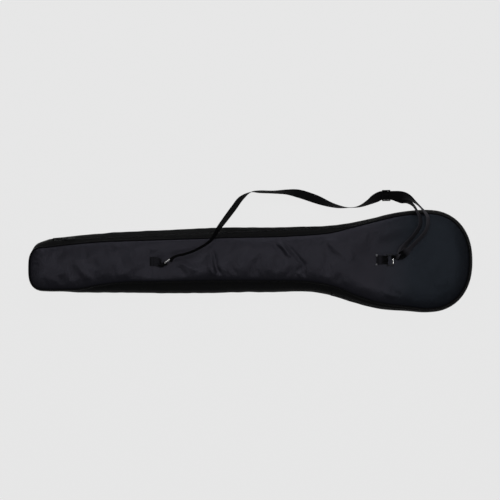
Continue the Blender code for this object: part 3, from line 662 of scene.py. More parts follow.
def strap_frames(rows):
    """The strap's middle, the way across it, and its width, at close points along a route."""
    fine = smooth_open(rows, 0.003)
    places = [Vector(row[:3]) for row in fine]
    out = []
    for row, place, way in zip(fine, places, headings(places)):
        level = Vector((-way.y, way.x, 0.0)).normalized()
        up = way.cross(level)
        out.append((place, level * math.cos(row[3]) + up * math.sin(row[3]), row[4]))
    return out


def ribbon(rows):
    """Webbing along rows of (middle, across, width). Where it is narrower than it was woven, it folds
    lengthwise, away from the side that its own normal turns from."""
    cuts = 14
    sections = []
    for (middle, across, width), way in zip(rows, headings([row[0] for row in rows])):
        normal = way.cross(across).normalized()
        fold = FOLD_DEPTH * math.sqrt(max(0.0, WEBBING**2 - width**2))
        top, under = [], []
        for j in range(cuts + 1):
            u = j / cuts - 0.5
            lift = fold * (1 - math.cos(4 * math.pi * (u + 0.5))) / 2
            half = WEBBING_T / 2 * (1 - 0.55 * abs(2 * u) ** 10)
            place = middle + across * width * u
            top.append(place + normal * (lift + half))
            under.append(place + normal * (lift - half))
        sections.append(top + under[::-1])
    return Parts().loft(sections)


# ---------------------------------------------------------------- padded panels
SPINE = (FOOT[0] + 0.004, HEAD[0])
CREASES = [  # points, half width and height of each ridge or hollow
    ([(-0.0999, 0.0330), (-0.0918, -0.0162), (-0.0783, -0.0440)], 0.0046, -0.0036),
    ([(-0.1060, -0.0160), (-0.0910, -0.0567)], 0.0050, 0.0034),
    ([(-0.1110, 0.0150), (-0.1026, -0.0600)], 0.0100, 0.0016),
    ([(0.0560, 0.0500), (0.0790, 0.0290), (0.0990, 0.0035)], 0.0060, -0.0018),
    ([(0.0690, 0.0520), (0.0920, 0.0320), (0.1130, 0.0070)], 0.0052, 0.0034),
    ([(0.0870, 0.0510), (0.1200, 0.0180), (0.1450, -0.0116), (0.1400, -0.0310)], 0.0055, -0.0030),
    ([(0.1290, -0.0300), (0.1400, -0.0530)], 0.0042, 0.0026),
    ([(0.1430, -0.0300), (0.1520, -0.0500)], 0.0036, -0.0016),
    ([(0.1980, 0.0620), (0.2400, 0.0300), (0.2820, -0.0010)], 0.0090, 0.0040),
    ([(0.1900, 0.0380), (0.2250, 0.0120), (0.2600, -0.0120)], 0.0130, -0.0010),
    ([(0.3600, -0.0870), (0.3950, -0.1040)], 0.0070, 0.0018),
    ([(0.3750, -0.0780), (0.4100, -0.0960)], 0.0060, -0.0014),
    ([(0.4950, -0.0700), (0.5350, -0.0580)], 0.0090, 0.0016),
    ([(0.4350, 0.0080), (0.4650, -0.0150)], 0.0110, 0.0018),
    ([(-0.3300, 0.0300), (-0.2950, -0.0300)], 0.0110, 0.0016),
    ([(-0.3600, 0.0220), (-0.3300, -0.0350)], 0.0110, -0.0014),
    ([(-0.4700, 0.0100), (-0.4300, -0.0600)], 0.0130, 0.0014),
    ([(-0.2000, -0.0150), (-0.1700, -0.0450)], 0.0080, -0.0018),
    ([(-0.1900, -0.0050), (-0.1400, -0.0300)], 0.0080, 0.0016),
]
FLAT_AREAS = [  # x, y, half length and half width of what is sewn down flat
    (-0.2520, -0.0035, 0.0140, 0.0090),
    (0.3650, 0.0000, 0.0250, 0.0090),
]


class PanelGrid:
    """Rings of points that follow the seam and close in on a line down the middle of the panel."""

    def __init__(self, rings, spacing):
        self.rings = rings
        count = round((SPINE[1] - SPINE[0]) / spacing)
        xs = spread(*SPINE, count)
        upper = [OUTLINE.crossing(x, upper=True) for x in xs]
        lower = [OUTLINE.crossing(x, upper=False) for x in xs]
        head = self.between(upper[-1], lower[-1], spacing * 1.1)
        foot = self.between(lower[0], upper[0], spacing * 1.1)
        distances = upper + head + lower[::-1] + foot
        there, back = list(range(count + 1)), list(range(count, -1, -1))
        self.toward = there + [count] * len(head) + back + [0] * len(foot)
        self.stations = [OUTLINE.station(d) for d in distances]
        opposite = [self.stations[distances.index(d)] for d in lower]
        self.spine = [a.seam.lerp(b.seam, 0.5) for a, b in zip(self.stations, opposite)]

    @staticmethod
    def between(start, end, spacing):
        if end <= start:
            end += OUTLINE.total
        return spread(start, end, round((end - start) / spacing))[1:-1]

    def points(self, inset):
        """Plan positions, ring by ring and then down the middle line. Each comes with its distance from
        the seam, and with the seam's own distance there."""
        pairs = []
        for r in range(self.rings):
            share = (r / self.rings) ** 1.35
            for station, k in zip(self.stations, self.toward):
                edge = station.seam - station.out * inset
                pairs.append((station, edge.lerp(self.spine[k], share)))
        pairs += zip(self.stations, self.spine)
        return [(place, (at.seam - place).dot(at.out), at.distance) for at, place in pairs]

    def faces(self, base):
        """Faces of one layer whose points start at number base."""
        count = len(self.stations)
        out = []
        for r in range(self.rings - 1):
            a, b = base + r * count, base + (r + 1) * count
            out += [(a + k, a + (k + 1) % count, b + (k + 1) % count, b + k) for k in range(count)]
        a, spine = base + (self.rings - 1) * count, base + self.rings * count
        for k in range(count):
            one, other = spine + self.toward[k], spine + self.toward[(k + 1) % count]
            corner = (a + k, a + (k + 1) % count)
            out.append((*corner, one) if one == other else (*corner, other, one))
        return out


def distance_to_line(x, y, points):
    """How far a place is from a broken line, and how far along it, from 0 to 1."""
    best, share = 1e9, 0.0
    spans = len(points) - 1
    for i, ((ax, ay), (bx, by)) in enumerate(zip(points, points[1:])):
        dx, dy = bx - ax, by - ay
        t = min(1.0, max(0.0, ((x - ax) * dx + (y - ay) * dy) / (dx * dx + dy * dy)))
        d = math.hypot(x - ax - t * dx, y - ay - t * dy)
        if d < best:
            best, share = d, (i + t) / spans
    return best, share


def outside(dx, dy, half_x, half_y):
    """How far a place is outside a rectangle round the origin."""
    return math.hypot(max(abs(dx) - half_x, 0.0), max(abs(dy) - half_y, 0.0))


def under_strap():
    """Places where the strap lies on the front panel, for the panel to stay under it."""
    rows = [row for line in (MAIN_ROUTE, OUTER_ROUTE, INNER_ROUTE) for row in strap_frames(line)]
    places = [row[0] for row in rows if row[0].z > THICKNESS]
    tree = kdtree.KDTree(len(places))
    for i, place in enumerate(places):
        tree.insert((place.x, place.y, 0), i)
    tree.balance()
    return tree


STRAP_TREE = under_strap()
EDGE_Z = SEAM_FRONT_Z + 0.0004  # where the front cloth dips into its seam
STRAP_PRINT = 0.0060  # half the width of what the strap covers of the panel
CROWN = 0.0058  # how far the padding rises from the seam to the middle of the panel
EDGE_ROLL = 0.0048  # how quickly it rises beside the seam
CROWN_REACH = 0.0480  # how far from the seam it is fully up
HELD_REACH = 0.0800  # how far round what lies on the panel its padding is held down


def relief(x, y, from_seam, distance):
    """How far the front cloth stands above the level of its padding."""
    inside = ease(from_seam / 0.030)
    broad, fine = ripple(x * 9, y * 14, 0.3), ripple(x * 26, y * 34, 4.1)
    lift = 0.0014 * broad * inside
    lift += 0.0008 * fine * inside
    near_seam = ease(from_seam / 0.004) * (1 - ease((from_seam - 0.004) / 0.020))
    lift += 0.00030 * near_seam * math.sin(distance * 330 + 5 * ripple(distance * 14, 2.0, 0.0))
    for points, half_width, height in CREASES:
        d, share = distance_to_line(x, y, points)
        if d < 3 * half_width:
            ends = ease(share / 0.25) * ease((1 - share) / 0.25)
            lift += height * math.exp(-((d / half_width) ** 2)) * ends * inside
    return lift


def sewn_or_covered(x, y):
    """How far a place is from what is sewn to the panel, and from the strap that lies on it."""
    sewn = min(outside(x - cx, y - cy, half_x, half_y) for cx, cy, half_x, half_y in FLAT_AREAS)
    return sewn, max(0.0, STRAP_TREE.find((x, y, 0))[2] - STRAP_PRINT)


def front_height(x, y, from_seam, distance):
    crown = 1 - math.exp(-max(0.0, from_seam - 0.0026) / EDGE_ROLL)
    level = EDGE_Z + (THICKNESS + 0.0004 - EDGE_Z) * crown
    level += CROWN * math.sin(math.pi / 2 * min(1.0, from_seam / CROWN_REACH))
    sewn, covered = sewn_or_covered(x, y)
    held = 1 - ease(sewn / HELD_REACH) * ease(covered / HELD_REACH)
    level += (min(level, THICKNESS + 0.0001) - level) * held
    lift = relief(x, y, from_seam, distance)
    return level + min(lift, 0.0) + max(lift, 0.0) * ease(min(sewn, covered) / 0.020)


def cover(name, grid, inset, outer_height, inner_height):
    """A closed padded panel: its outer cloth, then its lining, joined round the seam."""
    flat = grid.points(inset)
    outer = [Vector((p.x, p.y, outer_height(p.x, p.y, d, s))) for p, d, s in flat]
    inner = [Vector((p.x, p.y, inner_height(p.x, p.y, d, s))) for p, d, s in flat]
    count = len(grid.stations)
    base = len(outer)
    faces = grid.faces(0)
    faces += [(k, (k + 1) % count, base + (k + 1) % count, base + k) for k in range(count)]
    second_from = len(faces)
    faces += grid.faces(base)
    verts = outer + inner
    corners = [(verts[i].x, verts[i].y) for face in faces for i in face]
    obj = put(name, verts, faces, corners, "panel", 60, "lining", second_from)
    return obj, [d for _, d, _ in flat]


SETTLING_FRAMES = 24
CLOTH = {
    "quality": 6,
    "mass": 0.15,
    "tension_stiffness": 25,
    "compression_stiffness": 25,
    "shear_stiffness": 6,
    "bending_stiffness": 0.6,
    "shrink_min": -0.004,  # the cloth is cut this share larger than its padding
    "use_pressure": True,
    "uniform_pressure_force": 0.2,
    "vertex_group_mass": "sewn",
    "pin_stiffness": 1.0,
}


def let_cloth_settle(obj, from_seam, cap):
    """Lets the outer cloth, cut a little larger than its padding, find its own wrinkles. No point moves
    further than cap."""
    group = obj.vertex_groups.new(name="sewn")
    outer = len(from_seam)
    before = [v.co.copy() for v in obj.data.vertices]
    for i in range(len(before)):
        held = 1.0 if i >= outer else 1.0 - ease((from_seam[i] - 0.004) / 0.006)
        group.add([i], held, "REPLACE")
    cloth = obj.modifiers.new("Cloth", "CLOTH")
    for setting, value in CLOTH.items():
        setattr(cloth.settings, setting, value)
    cloth.settings.effector_weights.gravity = 0.0
    cloth.collision_settings.use_collision = False
    cloth.collision_settings.use_self_collision = False
    scene = bpy.context.scene
    cloth.point_cache.frame_start = 1
    cloth.point_cache.frame_end = SETTLING_FRAMES
    for step in range(1, SETTLING_FRAMES + 1):
        scene.frame_set(step)
    graph = bpy.context.evaluated_depsgraph_get()
    mesh = obj.evaluated_get(graph).to_mesh()
    moved = [v.co.copy() for v in mesh.vertices]
    obj.modifiers.clear()
    obj.vertex_groups.clear()
    scene.frame_set(1)
    for i, vertex in enumerate(obj.data.vertices[:outer]):
        shift = moved[i] - before[i]
        limit = cap * ease((from_seam[i] - 0.003) / 0.030)
        vertex.co = before[i] + shift * min(1.0, limit / max(shift.length, 1e-9))


def keep_below(obj, outer):
    """Presses the outer cloth down again where the strap and its tabs lie on it."""
    for vertex in obj.data.vertices[:outer]:
        x, y, z = vertex.co
        sewn, covered = sewn_or_covered(x, y)
        vertex.co.z = min(z, THICKNESS + 0.0002 + 0.0080 * ease(min(sewn, covered) / 0.025))


def subdivided(obj):
    modifier = obj.modifiers.new("Smooth", "SUBSURF")
    modifier.levels = modifier.render_levels = 1
    applied(obj)


def lining(level, drawn, seed):
    """The height of a lining, drawn towards its seam and a little uneven, as a function of the place."""

    def height(x, y, from_seam, distance):
        return level + drawn * (1 - ease(from_seam / 0.012)) + 0.0003 * ripple(x * 30, y * 30, seed)

    return height


def back_height(x, y, from_seam, distance):
    return 0.0002 + 0.0016 * (1 - ease((from_seam - 0.002) / 0.008))


def panels():
    grid = PanelGrid(rings=20, spacing=0.0046)
    front, from_seam = cover("front_cover", grid, 0.0016, front_height, lining(0.0414, 0.0025, 7))
    let_cloth_settle(front, from_seam, cap=0.0009)
    keep_below(front, len(from_seam))
    subdivided(front)
    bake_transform(front)
    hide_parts("front_panel", "front_foam", "front_lining", "flap_panel", "flap_foam", "flap_lining")

    coarse = PanelGrid(rings=12, spacing=0.0080)
    back, _ = cover("back_cover", coarse, 0.0018, back_height, lining(0.0066, -0.0020, 9))
    subdivided(back)
    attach(back, "bag")
    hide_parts("back_panel", "back_foam", "back_lining")


# ---------------------------------------------------------------- side walls, piping and bindings
def smooth_profile(points, count):
    """Points evenly placed on a Catmull-Rom curve through (out, height) pairs."""
    line = [Vector((p[0], 0, p[1])) for p in points]
    fine = [Vector((p.x, p.z)) for p in smooth_open(line, 0.0012)]
    length = running_length(fine)
    out, i = [], 0
    for aim in spread(0.0, length[-1], count):
        while i < len(fine) - 2 and length[i + 1] < aim:
            i += 1
        out.append(fine[i].lerp(fine[i + 1], (aim - length[i]) / max(length[i + 1] - length[i], 1e-9)))
    return out


def cloth_loop(station, profile, wrinkle):
    """The closed outline of cloth whose outer face follows a profile, with wrinkles between its edges."""
    last = len(profile) - 1
    outer = []
    for j, (point, way) in enumerate(zip(profile, headings(profile))):
        window = math.sin(math.pi * j / last) ** 0.8
        outer.append(point + Vector((-way.y, way.x)) * wrinkle(station, j / last) * window)
    inner = [point + Vector((way.y, -way.x)) * FABRIC for point, way in zip(outer, headings(outer))]
    return [station.wall(*p) for p in outer + inner[::-1]]


def wall_wrinkle(station, share):
    s = station.distance
    broad = 0.0016 * ripple(s * 9, share * 1.2, 1.0)
    slack = 0.0011 * ripple(s * 34, share * 2.2 + s * 9, 5.0)
    return (broad + slack) * min(1.0, station.bulge / 0.020)


def little_wrinkle(station, share):
    return 0.00025 * ripple(station.distance * 60, share * 2, 3.0)


GAP_EDGE = 0.0036  # from the zip's middle to the edge of the cloth beside it
TAPE_HEM = 0.0080  # and to the line where that cloth leaves the zip's tape


def under_belly(station):
    b = station.bulge
    return [(b, BELLY_Z), (0.66 * b, 0.0105), (0.0, WALL_BOTTOM)]


def gusset(name, sections):
    return Parts().loft(sections).make(name, "gusset", "fabric", 80)


def side_walls():
    plain, lower, upper = [], [], []
    for station in PLAIN:
        above = [(0.0, WALL_TOP), (ZIP_SHARE * station.bulge, ZIP_Z)]
        plain.append(cloth_loop(station, smooth_profile(above + under_belly(station), 14), wall_wrinkle))
    for station in ZIPPED:
        beside = [station.by_zip(down, FABRIC) for down in (GAP_EDGE, TAPE_HEM)]
        lower.append(cloth_loop(station, smooth_profile(beside + under_belly(station), 12), wall_wrinkle))
        above = [(0.0, WALL_TOP)] + [station.by_zip(-down, FABRIC) for down in (TAPE_HEM, GAP_EDGE)]
        upper.append(cloth_loop(station, smooth_profile(above, 6), little_wrinkle))
    piece = gusset("plain_gusset", plain)
    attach(piece, "bag")
    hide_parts("plain_side_wall")
    piece = gusset("lower_zip_gusset", lower)
    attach(piece, "bag")
    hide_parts("shaft_zip_wall", "head_zip_wall")
    piece = gusset("upper_zip_gusset", upper)
    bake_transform(piece)
    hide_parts("shaft_zip_skirt", "flap_zip_skirt")


def welt(name, z):
    """Piping: a cloth-covered cord, a little uneven where the needle has pulled it."""
    sections = []
    for station in ALL_ROUND:
        s = station.distance
        radius = PIPING_R * (1.0 + 0.04 * math.sin(s * 420) + 0.05 * ripple(s * 20, z * 50, 0))
        shift = 0.0004 * ripple(s * 8, 3.0, z * 50)
        circle = [(shift + radius * math.cos(a), z + radius * math.sin(a)) for a in once_round(12)]
        sections.append([station.wall(*p) for p in circle])
    return Parts().loft(sections, closed=True).make(name, "piping", "piping")


def strip(name, stations, corners_at, finish, slot, closed=False):
    return Parts().loft([corners_at(station) for station in stations], closed).make(name, finish, slot, 30)


BINDING_T = 0.0010


def binding_at(out, low, high):
    """A binding tape folded over the raw edges of a seam, inside the bag."""

    def corners(station):
        sway = 0.0006 * ripple(station.distance * 25, low * 90, 2.0)
        face = [(out + sway * k / 4, z) for k, z in enumerate(spread(low, high, 4))]
        back = [(o + BINDING_T, z) for o, z in face[::-1]]
        return [station.wall(*p) for p in face + back]

    return corners


def seams():
    front = welt("front_welt", SEAM_FRONT_Z)
    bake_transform(front)
    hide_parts("front_piping", "flap_piping")
    back = welt("back_welt", SEAM_BACK_Z)
    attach(back, "bag")
    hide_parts("back_piping")
    tape = binding_at(-0.0074, 0.0330, 0.0412)
    binding = strip("front_binding", ALL_ROUND, tape, "binding", "lining", closed=True)
    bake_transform(binding)
    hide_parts("front_seam_binding", "flap_seam_binding")
    tape = binding_at(-0.0042, 0.0072, 0.0145)
    binding = strip("back_binding", ALL_ROUND, tape, "binding", "lining", closed=True)
    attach(binding, "bag")
    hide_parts("back_seam_binding")


# ---------------------------------------------------------------- the zip
COIL_PITCH = 0.0021
COIL_WIRE_R = 0.00033
TAPE = (0.0009, 0.0072)  # from the zip's middle to the near and far edge of a tape
STITCH_ROW = 0.0058
SLIDER_X = -0.5000


def tape_at(near, far):
    """One zip tape, with its ribbed edge beside the coil."""

    def corners(station):
        steps = spread(near, far, 5)
        low = [station.on_zip(down, -0.0015) for down in steps]
        high = [station.on_zip(down, -0.0007 + 0.00012 * (k % 2)) for k, down in enumerate(steps)]
        return low + high[::-1]

    return corners


def coil(name, side):
    """A nylon coil: one turn for each tooth, sewn along its tape."""
    start, end = ZIP_START + 0.003, FOLD_LOWER - 0.003
    steps = 8
    fine = OUTLINE.stations(start, end, COIL_PITCH)
    path = []
    for i in range(round((end - start) / COIL_PITCH) * steps):
        share = i / steps
        station, after = [fine[min(int(share) + k, len(fine) - 2 + k)] for k in (0, 1)]
        angle = 2 * math.pi * share + (math.pi if side > 0 else 0)
        down = side * (0.00175 + 0.00155 * math.cos(angle))
        face = 0.00115 + 0.00085 * math.sin(angle)
        path.append(station.on_zip(down, face).lerp(after.on_zip(down, face), share % 1))
    return Parts().tube(path, COIL_WIRE_R, sides=5).make(name, "coil", "zip", 60)


def stitches(name, spots, radius=0.00032, length=0.0030):
    """Sewing stitches: each spot is a place, the way the thread runs, and the way out of the cloth."""
    parts = Parts()
    for place, way, out in spots:
        path = [place + way * length * t + out * (radius * (0.9 - 5.2 * t * t)) for t in spread(-0.5, 0.5, 4)]
        parts.tube(path, [radius * f for f in (0.5, 0.9, 1.0, 0.9, 0.5)], sides=6, up=out)
    return parts.make(name, "thread", "thread", 80)


def row_beside_zip(down):
    """The spots of a row of stitches along one tape: each starts at one station and points to the next."""
    spots = []
    stations = OUTLINE.stations(ZIP_START + 0.004, FOLD_LOWER - 0.004, 0.0021)
    for station, after in zip(stations[::2], stations[1::2]):
        place, ahead = station.on_zip(down, FABRIC), after.on_zip(down, FABRIC)
        out = station.on_zip(down, FABRIC + 0.01) - place
        spots.append((place, (ahead - place).normalized(), out.normalized()))
    return spots


def zipper():
    near, far = TAPE
    lower = strip("lower_tape", ZIPPED, tape_at(near, far), "tape", "zip")
    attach(lower, "bag")
    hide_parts("lower_zip_tape")
    upper = strip("upper_tape", ZIPPED, tape_at(-far, -near), "tape", "zip")
    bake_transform(upper)
    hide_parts("upper_zip_tape", "flap_zip_tape")
    lower = coil("lower_teeth", 1)
    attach(lower, "bag")
    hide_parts("lower_zip_coil")
    upper = coil("upper_teeth", -1)
    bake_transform(upper)
    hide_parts("upper_zip_coil", "flap_zip_coil")
    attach(stitches("lower_zip_stitches", row_beside_zip(STITCH_ROW)), "bag")
    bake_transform(stitches("upper_zip_stitches", row_beside_zip(-STITCH_ROW)))


def moulded(name, boxes, matrix, voxel, finish, rounds=4):
    """A cast or moulded piece: boxes run together and rounded over. A box is its two corners."""
    bm = bmesh.new()
    for low, high in boxes:
        size = [b - a for a, b in zip(low, high)]
        middle = [(a + b) / 2 for a, b in zip(low, high)]
        bmesh.ops.create_cube(bm, size=1.0, matrix=Matrix.Translation(middle) @ Matrix.Diagonal((*size, 1)))
    mesh = bpy.data.meshes.new(name)
    bm.to_mesh(mesh)
    bm.free()
    obj = placed(name, mesh)
    remesh = obj.modifiers.new("Melt", "REMESH")
    remesh.mode = "VOXEL"
    remesh.voxel_size = voxel
    soften = obj.modifiers.new("Round", "SMOOTH")
    soften.iterations = rounds
    soften.factor = 0.6
    applied(obj)
    obj.data.transform(matrix)
    weave = obj.data.uv_layers.new(name="weave")
    inverse = matrix.inverted()
    places = [inverse @ obj.data.vertices[loop.vertex_index].co for loop in obj.data.loops]
    weave.data.foreach_set("uv", np.asarray([(p.x + p.z, p.y + p.z) for p in places], np.float32).ravel())
    obj.data.materials.clear()
    obj.data.materials.append(MAT[finish])
    return obj


def both_sides(low, high):
    """A box, and the same box mirrored in its piece's middle plane."""
    (x0, y0, z0), (x1, y1, z1) = low, high
    return [(low, high), ((x0, -y1, z0), (x1, -y0, z1))]


def axes(at, x_axis, z_axis):
    x = Vector(x_axis).normalized()
    z = (Vector(z_axis) - Vector(z_axis).dot(x) * x).normalized()
    matrix = Matrix((x, z.cross(x), z)).transposed().to_4x4()
    matrix.translation = at
    return matrix


def slider_and_pull():
    start, end = ZIP_LINE
    at = Vector((*start.lerp(end, (SLIDER_X - start.x) / (end.x - start.x)), ZIP_Z))
    along = Vector((*(end - start), 0.0)).normalized()
    out = Vector((-along.y, along.x, 0.0))
    face = out * math.cos(ZIP_TILT) + Vector((0, 0, math.sin(ZIP_TILT)))
    body = [
        ((-0.0060, -0.0034, 0.0026), (0.0046, 0.0034, 0.0039)),
        ((-0.0044, -0.0043, 0.0026), (0.0020, 0.0043, 0.0039)),
        *both_sides((-0.0060, -0.0043, 0.0014), (0.0040, -0.0034, 0.0039)),
        ((-0.0050, -0.0005, -0.0024), (-0.0015, 0.0005, 0.0030)),
        ((-0.0060, -0.0036, -0.0032), (0.0050, 0.0036, -0.0018)),
        ((-0.0036, -0.0012, 0.0034), (-0.0021, 0.0012, 0.0070)),
        ((0.0021, -0.0012, 0.0034), (0.0036, 0.0012, 0.0070)),
        ((-0.0036, -0.0012, 0.0058), (0.0036, 0.0012, 0.0072)),
    ]
    piece = moulded("zip_slider_body", body, axes(at, along, face), 0.00022, "slider")
    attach(piece, "zip_slider")
    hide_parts("zip_slider")
    tab = [
        ((-0.0007, -0.0031, -0.0007), (0.0007, 0.0031, 0.0007)),
        *both_sides((-0.0007, -0.0031, -0.0006), (0.0100, -0.0017, 0.0006)),
        ((0.0085, -0.0035, -0.0007), (0.0190, 0.0035, 0.0007)),
        *both_sides((0.0185, -0.0035, -0.0007), (0.0268, -0.0016, 0.0007)),
        ((0.0246, -0.0031, -0.0007), (0.0272, 0.0031, 0.0007)),
    ]
    piece = moulded("zip_pull_tab", tab, axes(at + face * 0.0049, along, face), 0.00022, "slider")
    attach(piece, "zip_pull")
    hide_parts("zip_pull")


def zip_stops():
    clamp = [
        ((-0.0021, -0.0013, 0.0020), (0.0021, 0.0013, 0.0032)),
        *both_sides((-0.0021, -0.0016, 0.0002), (0.0021, -0.0009, 0.0028)),
    ]
    for node, distance, down in (
        ("zip_stop_upper", ZIP_START + 0.006, -0.0020),
        ("zip_stop_lower", ZIP_START + 0.006, 0.0020),
        ("zip_stop_open_end", FOLD_LOWER - 0.006, 0.0020),
    ):
        station = OUTLINE.station(distance)
        tangent = Vector((station.out.y, -station.out.x, 0))
        foot = station.on_zip(down, 0.0)
        where = axes(foot, tangent, station.on_zip(down, 0.01) - foot)
        piece = moulded(node + "_clamp", clamp, where, 0.0002, "slider", rounds=3)
        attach(piece, "bag")
        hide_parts(node)


# ---------------------------------------------------------------- rings, tabs and strap
RING_WIRE_R = 0.0016
RING_REACH = 0.0165  # from the bar in the tab to the bar in the strap
RING_SPAN = 0.0290
RING_CORNER = 0.0035
LAYER_GAP = 0.0006  # between the two layers of a tab
LAYER_OFF = RING_WIRE_R + 0.0004 + WEBBING_T / 2  # from a bar's middle to the middle of webbing round it
RING_Z = THICKNESS + 0.0003 + WEBBING_T / 2 + LAYER_OFF


class Hold:
    """Where a ring turns in its tab: the bar's middle, the ring's heading and its roll about it."""

    def __init__(self, x, y, z, heading_deg, roll_deg):
        heading, roll = math.radians(heading_deg), math.radians(roll_deg)
        self.at = Vector((x, y, z))
        self.roll = roll
        self.ahead = Vector((math.cos(heading), math.sin(heading), 0.0))
        left = Vector((-self.ahead.y, self.ahead.x, 0.0))
        self.bar = left * math.cos(roll) + Vector((0, 0, math.sin(roll)))
        self.normal = self.ahead.cross(self.bar)


LEFT = Hold(-0.2262, -0.0100, 0.0641, heading_deg=35, roll_deg=75)
RIGHT = Hold(0.3690, 0.0, RING_Z, heading_deg=0, roll_deg=0)
LEFT_TAB_RISES_AT = Vector((-0.2560, -0.0035, RING_Z))
TWIST = 0.0320  # the left tab starts to twist this far before its ring
STRAIGHT = 0.0060  # and is straight again this far before it
LEFT_DRAWN_IN = 0.0040  # how much narrower each tab is at its ring
RIGHT_DRAWN_IN = 0.0030


def hairpin(tail, pinch):
    """The middle line of webbing folded round a bar at the origin, with its tails at -X."""
    upper = -LAYER_OFF + WEBBING_T + LAYER_GAP
    places = spread(-pinch, -tail, max(2, round((tail - pinch) / 0.0020)))
    line = [(place, -LAYER_OFF) for place in reversed(places)]
    for angle in spread(-math.pi / 2, math.pi / 2, 14):
        line.append((LAYER_OFF * math.cos(angle), LAYER_OFF * math.sin(angle)))
    return line + [(place, upper) for place in places[:-1]]


def twisted_frame(along):
    """The left tab: flat on the panel, then twisted up to its ring."""
    start = LEFT_TAB_RISES_AT
    end = LEFT.at - LEFT.ahead * STRAIGHT
    u = (along + TWIST) / (TWIST - STRAIGHT)
    if u <= 0:
        return start + Vector((along + TWIST, 0, 0)), Vector((0, 1, 0)), Vector((0, 0, 1)), WEBBING
    if u >= 1:
        return LEFT.at + LEFT.ahead * along, LEFT.bar, LEFT.normal, WEBBING - LEFT_DRAWN_IN
    reach = TWIST - STRAIGHT
    first, last = Vector((reach, 0, 0)), LEFT.ahead * reach
    middle = start * (2 * u**3 - 3 * u**2 + 1) + first * (u**3 - 2 * u**2 + u)
    middle += end * (3 * u**2 - 2 * u**3) + last * (u**3 - u**2)
    way = (end - start) * (6 * u - 6 * u**2) + first * (3 * u**2 - 4 * u + 1) + last * (3 * u**2 - 2 * u)
    way.normalize()
    left = Vector((-way.y, way.x, 0.0)).normalized()
    roll = LEFT.roll * ease(u)
    across = left * math.cos(roll) + way.cross(left) * math.sin(roll)
    return middle, across, way.cross(across), WEBBING - LEFT_DRAWN_IN * ease(u)


def flat_frame(along):
    """The right tab, flat on the flap, drawn in a little at its ring."""
    share = 1.0 - ease((-along - 0.003) / 0.014)
    middle = RIGHT.at + Vector((along, 0, 0))
    return middle, Vector((0, 1, 0)), Vector((0, 0, 1)), WEBBING - RIGHT_DRAWN_IN * share


def folded_rows(line, frame_at):
    rows = []
    for along, off in line:
        middle, across, normal, width = frame_at(along)
        rows.append((middle + normal * off, across, width))
    return rows


def bar_tacks(name, frame_at, places):
    """Rows of close stitches across a tab's top layer, and a row down each side between them."""
    top = -LAYER_OFF + 1.5 * WEBBING_T + LAYER_GAP
    spots = []
    for along in places:
        for k in range(19):
            middle, across, normal, width = frame_at(along + 0.0004 * (k % 2))
            place = middle + across * width * 0.88 * (k / 18 - 0.5) + normal * top
            way = across + normal.cross(across) * (0.9 if k % 2 else -0.9)
            spots.append((place, way.normalized(), normal))
    low, high = min(places), max(places)
    steps = max(2, round((high - low) / 0.0034))
    for edge in (-0.42, 0.42):
        for k in range(steps):
            middle, across, normal, width = frame_at(low + (high - low) * (k + 0.5) / steps)
            spots.append((middle + across * width * edge + normal * top, across.cross(normal), normal))
    return stitches(name, spots, radius=0.00034, length=0.0026)


def ring(name, hold, body):
    path = []
    half = RING_SPAN / 2
    r = RING_CORNER
    centres = [(RING_REACH - r, half - r), (r, half - r), (r, r - half), (RING_REACH - r, r - half)]
    for corner, (cx, cy) in enumerate(centres):
        for k in range(11):
            angle = math.pi / 2 * (corner + k / 10)
            x, y = cx + r * math.cos(angle), cy + r * math.sin(angle)
            path.append(hold.at + hold.ahead * x + hold.bar * y)
    piece = Parts().tube(path, RING_WIRE_R, sides=16, closed=True, up=hold.normal)
    piece = piece.make(name, body, "steel", 80)
    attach(piece, body)
    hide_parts(body)


def tab(name, tail, pinch, frame_at):
    """Webbing folded round a ring and sewn down: tail is its length and pinch is where its fold closes."""
    return ribbon(folded_rows(hairpin(tail, pinch), frame_at)).make(name + "_webbing", name, "webbing")


def tabs_and_rings():
    piece = tab("left_tab", 0.0460, STRAIGHT, twisted_frame)
    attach(piece, "bag")
    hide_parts("left_tab")
    piece = bar_tacks("left_tab_tacks", twisted_frame, (-0.0425, -0.0350))
    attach(piece, "bag")
    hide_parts("left_tab_stitching_outer", "left_tab_stitching_inner")
    piece = tab("right_tab", 0.0285, 0.0085, flat_frame)
    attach(piece, "flap")
    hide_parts("right_tab")
    piece = bar_tacks("right_tab_tacks", flat_frame, (-0.0240, -0.0130))
    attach(piece, "flap")
    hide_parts("right_tab_stitching_outer", "right_tab_stitching_inner")
    ring("left_ring_wire", LEFT, "left_ring")
    ring("right_ring_wire", RIGHT, "right_ring")


def glint_knots():
    """Two pale curls of thread at the corners of the right tab's tail: painted glints, pale where the ends of
    its bar tacks catch the light.
    """
    parts = Parts()
    for number, side in enumerate((1, -1)):
        corner = Vector((0.3420, side * 0.0118, THICKNESS + 0.0026))
        path = []
        for t in spread(0.0, 1.0, 21):
            turn = 9 * t + number
            reach = 0.0011 + 0.0012 * t
            swing = Vector((math.cos(turn) * reach, math.sin(turn) * reach, 0.0007 * math.sin(3 * turn)))
            path.append(corner + swing + Vector((-0.0012 * t, side * 0.0010 * t, 0)))
        parts.tube(path, 0.00045, sides=6)
    piece = parts.make("right_tab_glint_knots", "glint_thread", "thread")
    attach(piece, "flap")


def loop_rows(hold, tail, offset, width, tail_width):
    """Webbing round a ring's far bar, from its upper layer, round the bar, to its lower layer."""
    bar = hold.at + hold.ahead * RING_REACH + hold.bar * offset
    rows = []
    for along, off in hairpin(tail, 0.0040)[::-1]:
        drawn_in = width + (tail_width - width) * ease((-along - 0.0030) / (tail - 0.0030))
        rows.append((bar - hold.ahead * along + hold.normal * off, hold.bar, drawn_in))
    return rows


def strap_piece(name, rows, node, finish="webbing"):
    piece = ribbon(rows).make(name, finish, "webbing", 50)
    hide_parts(node)
    return piece


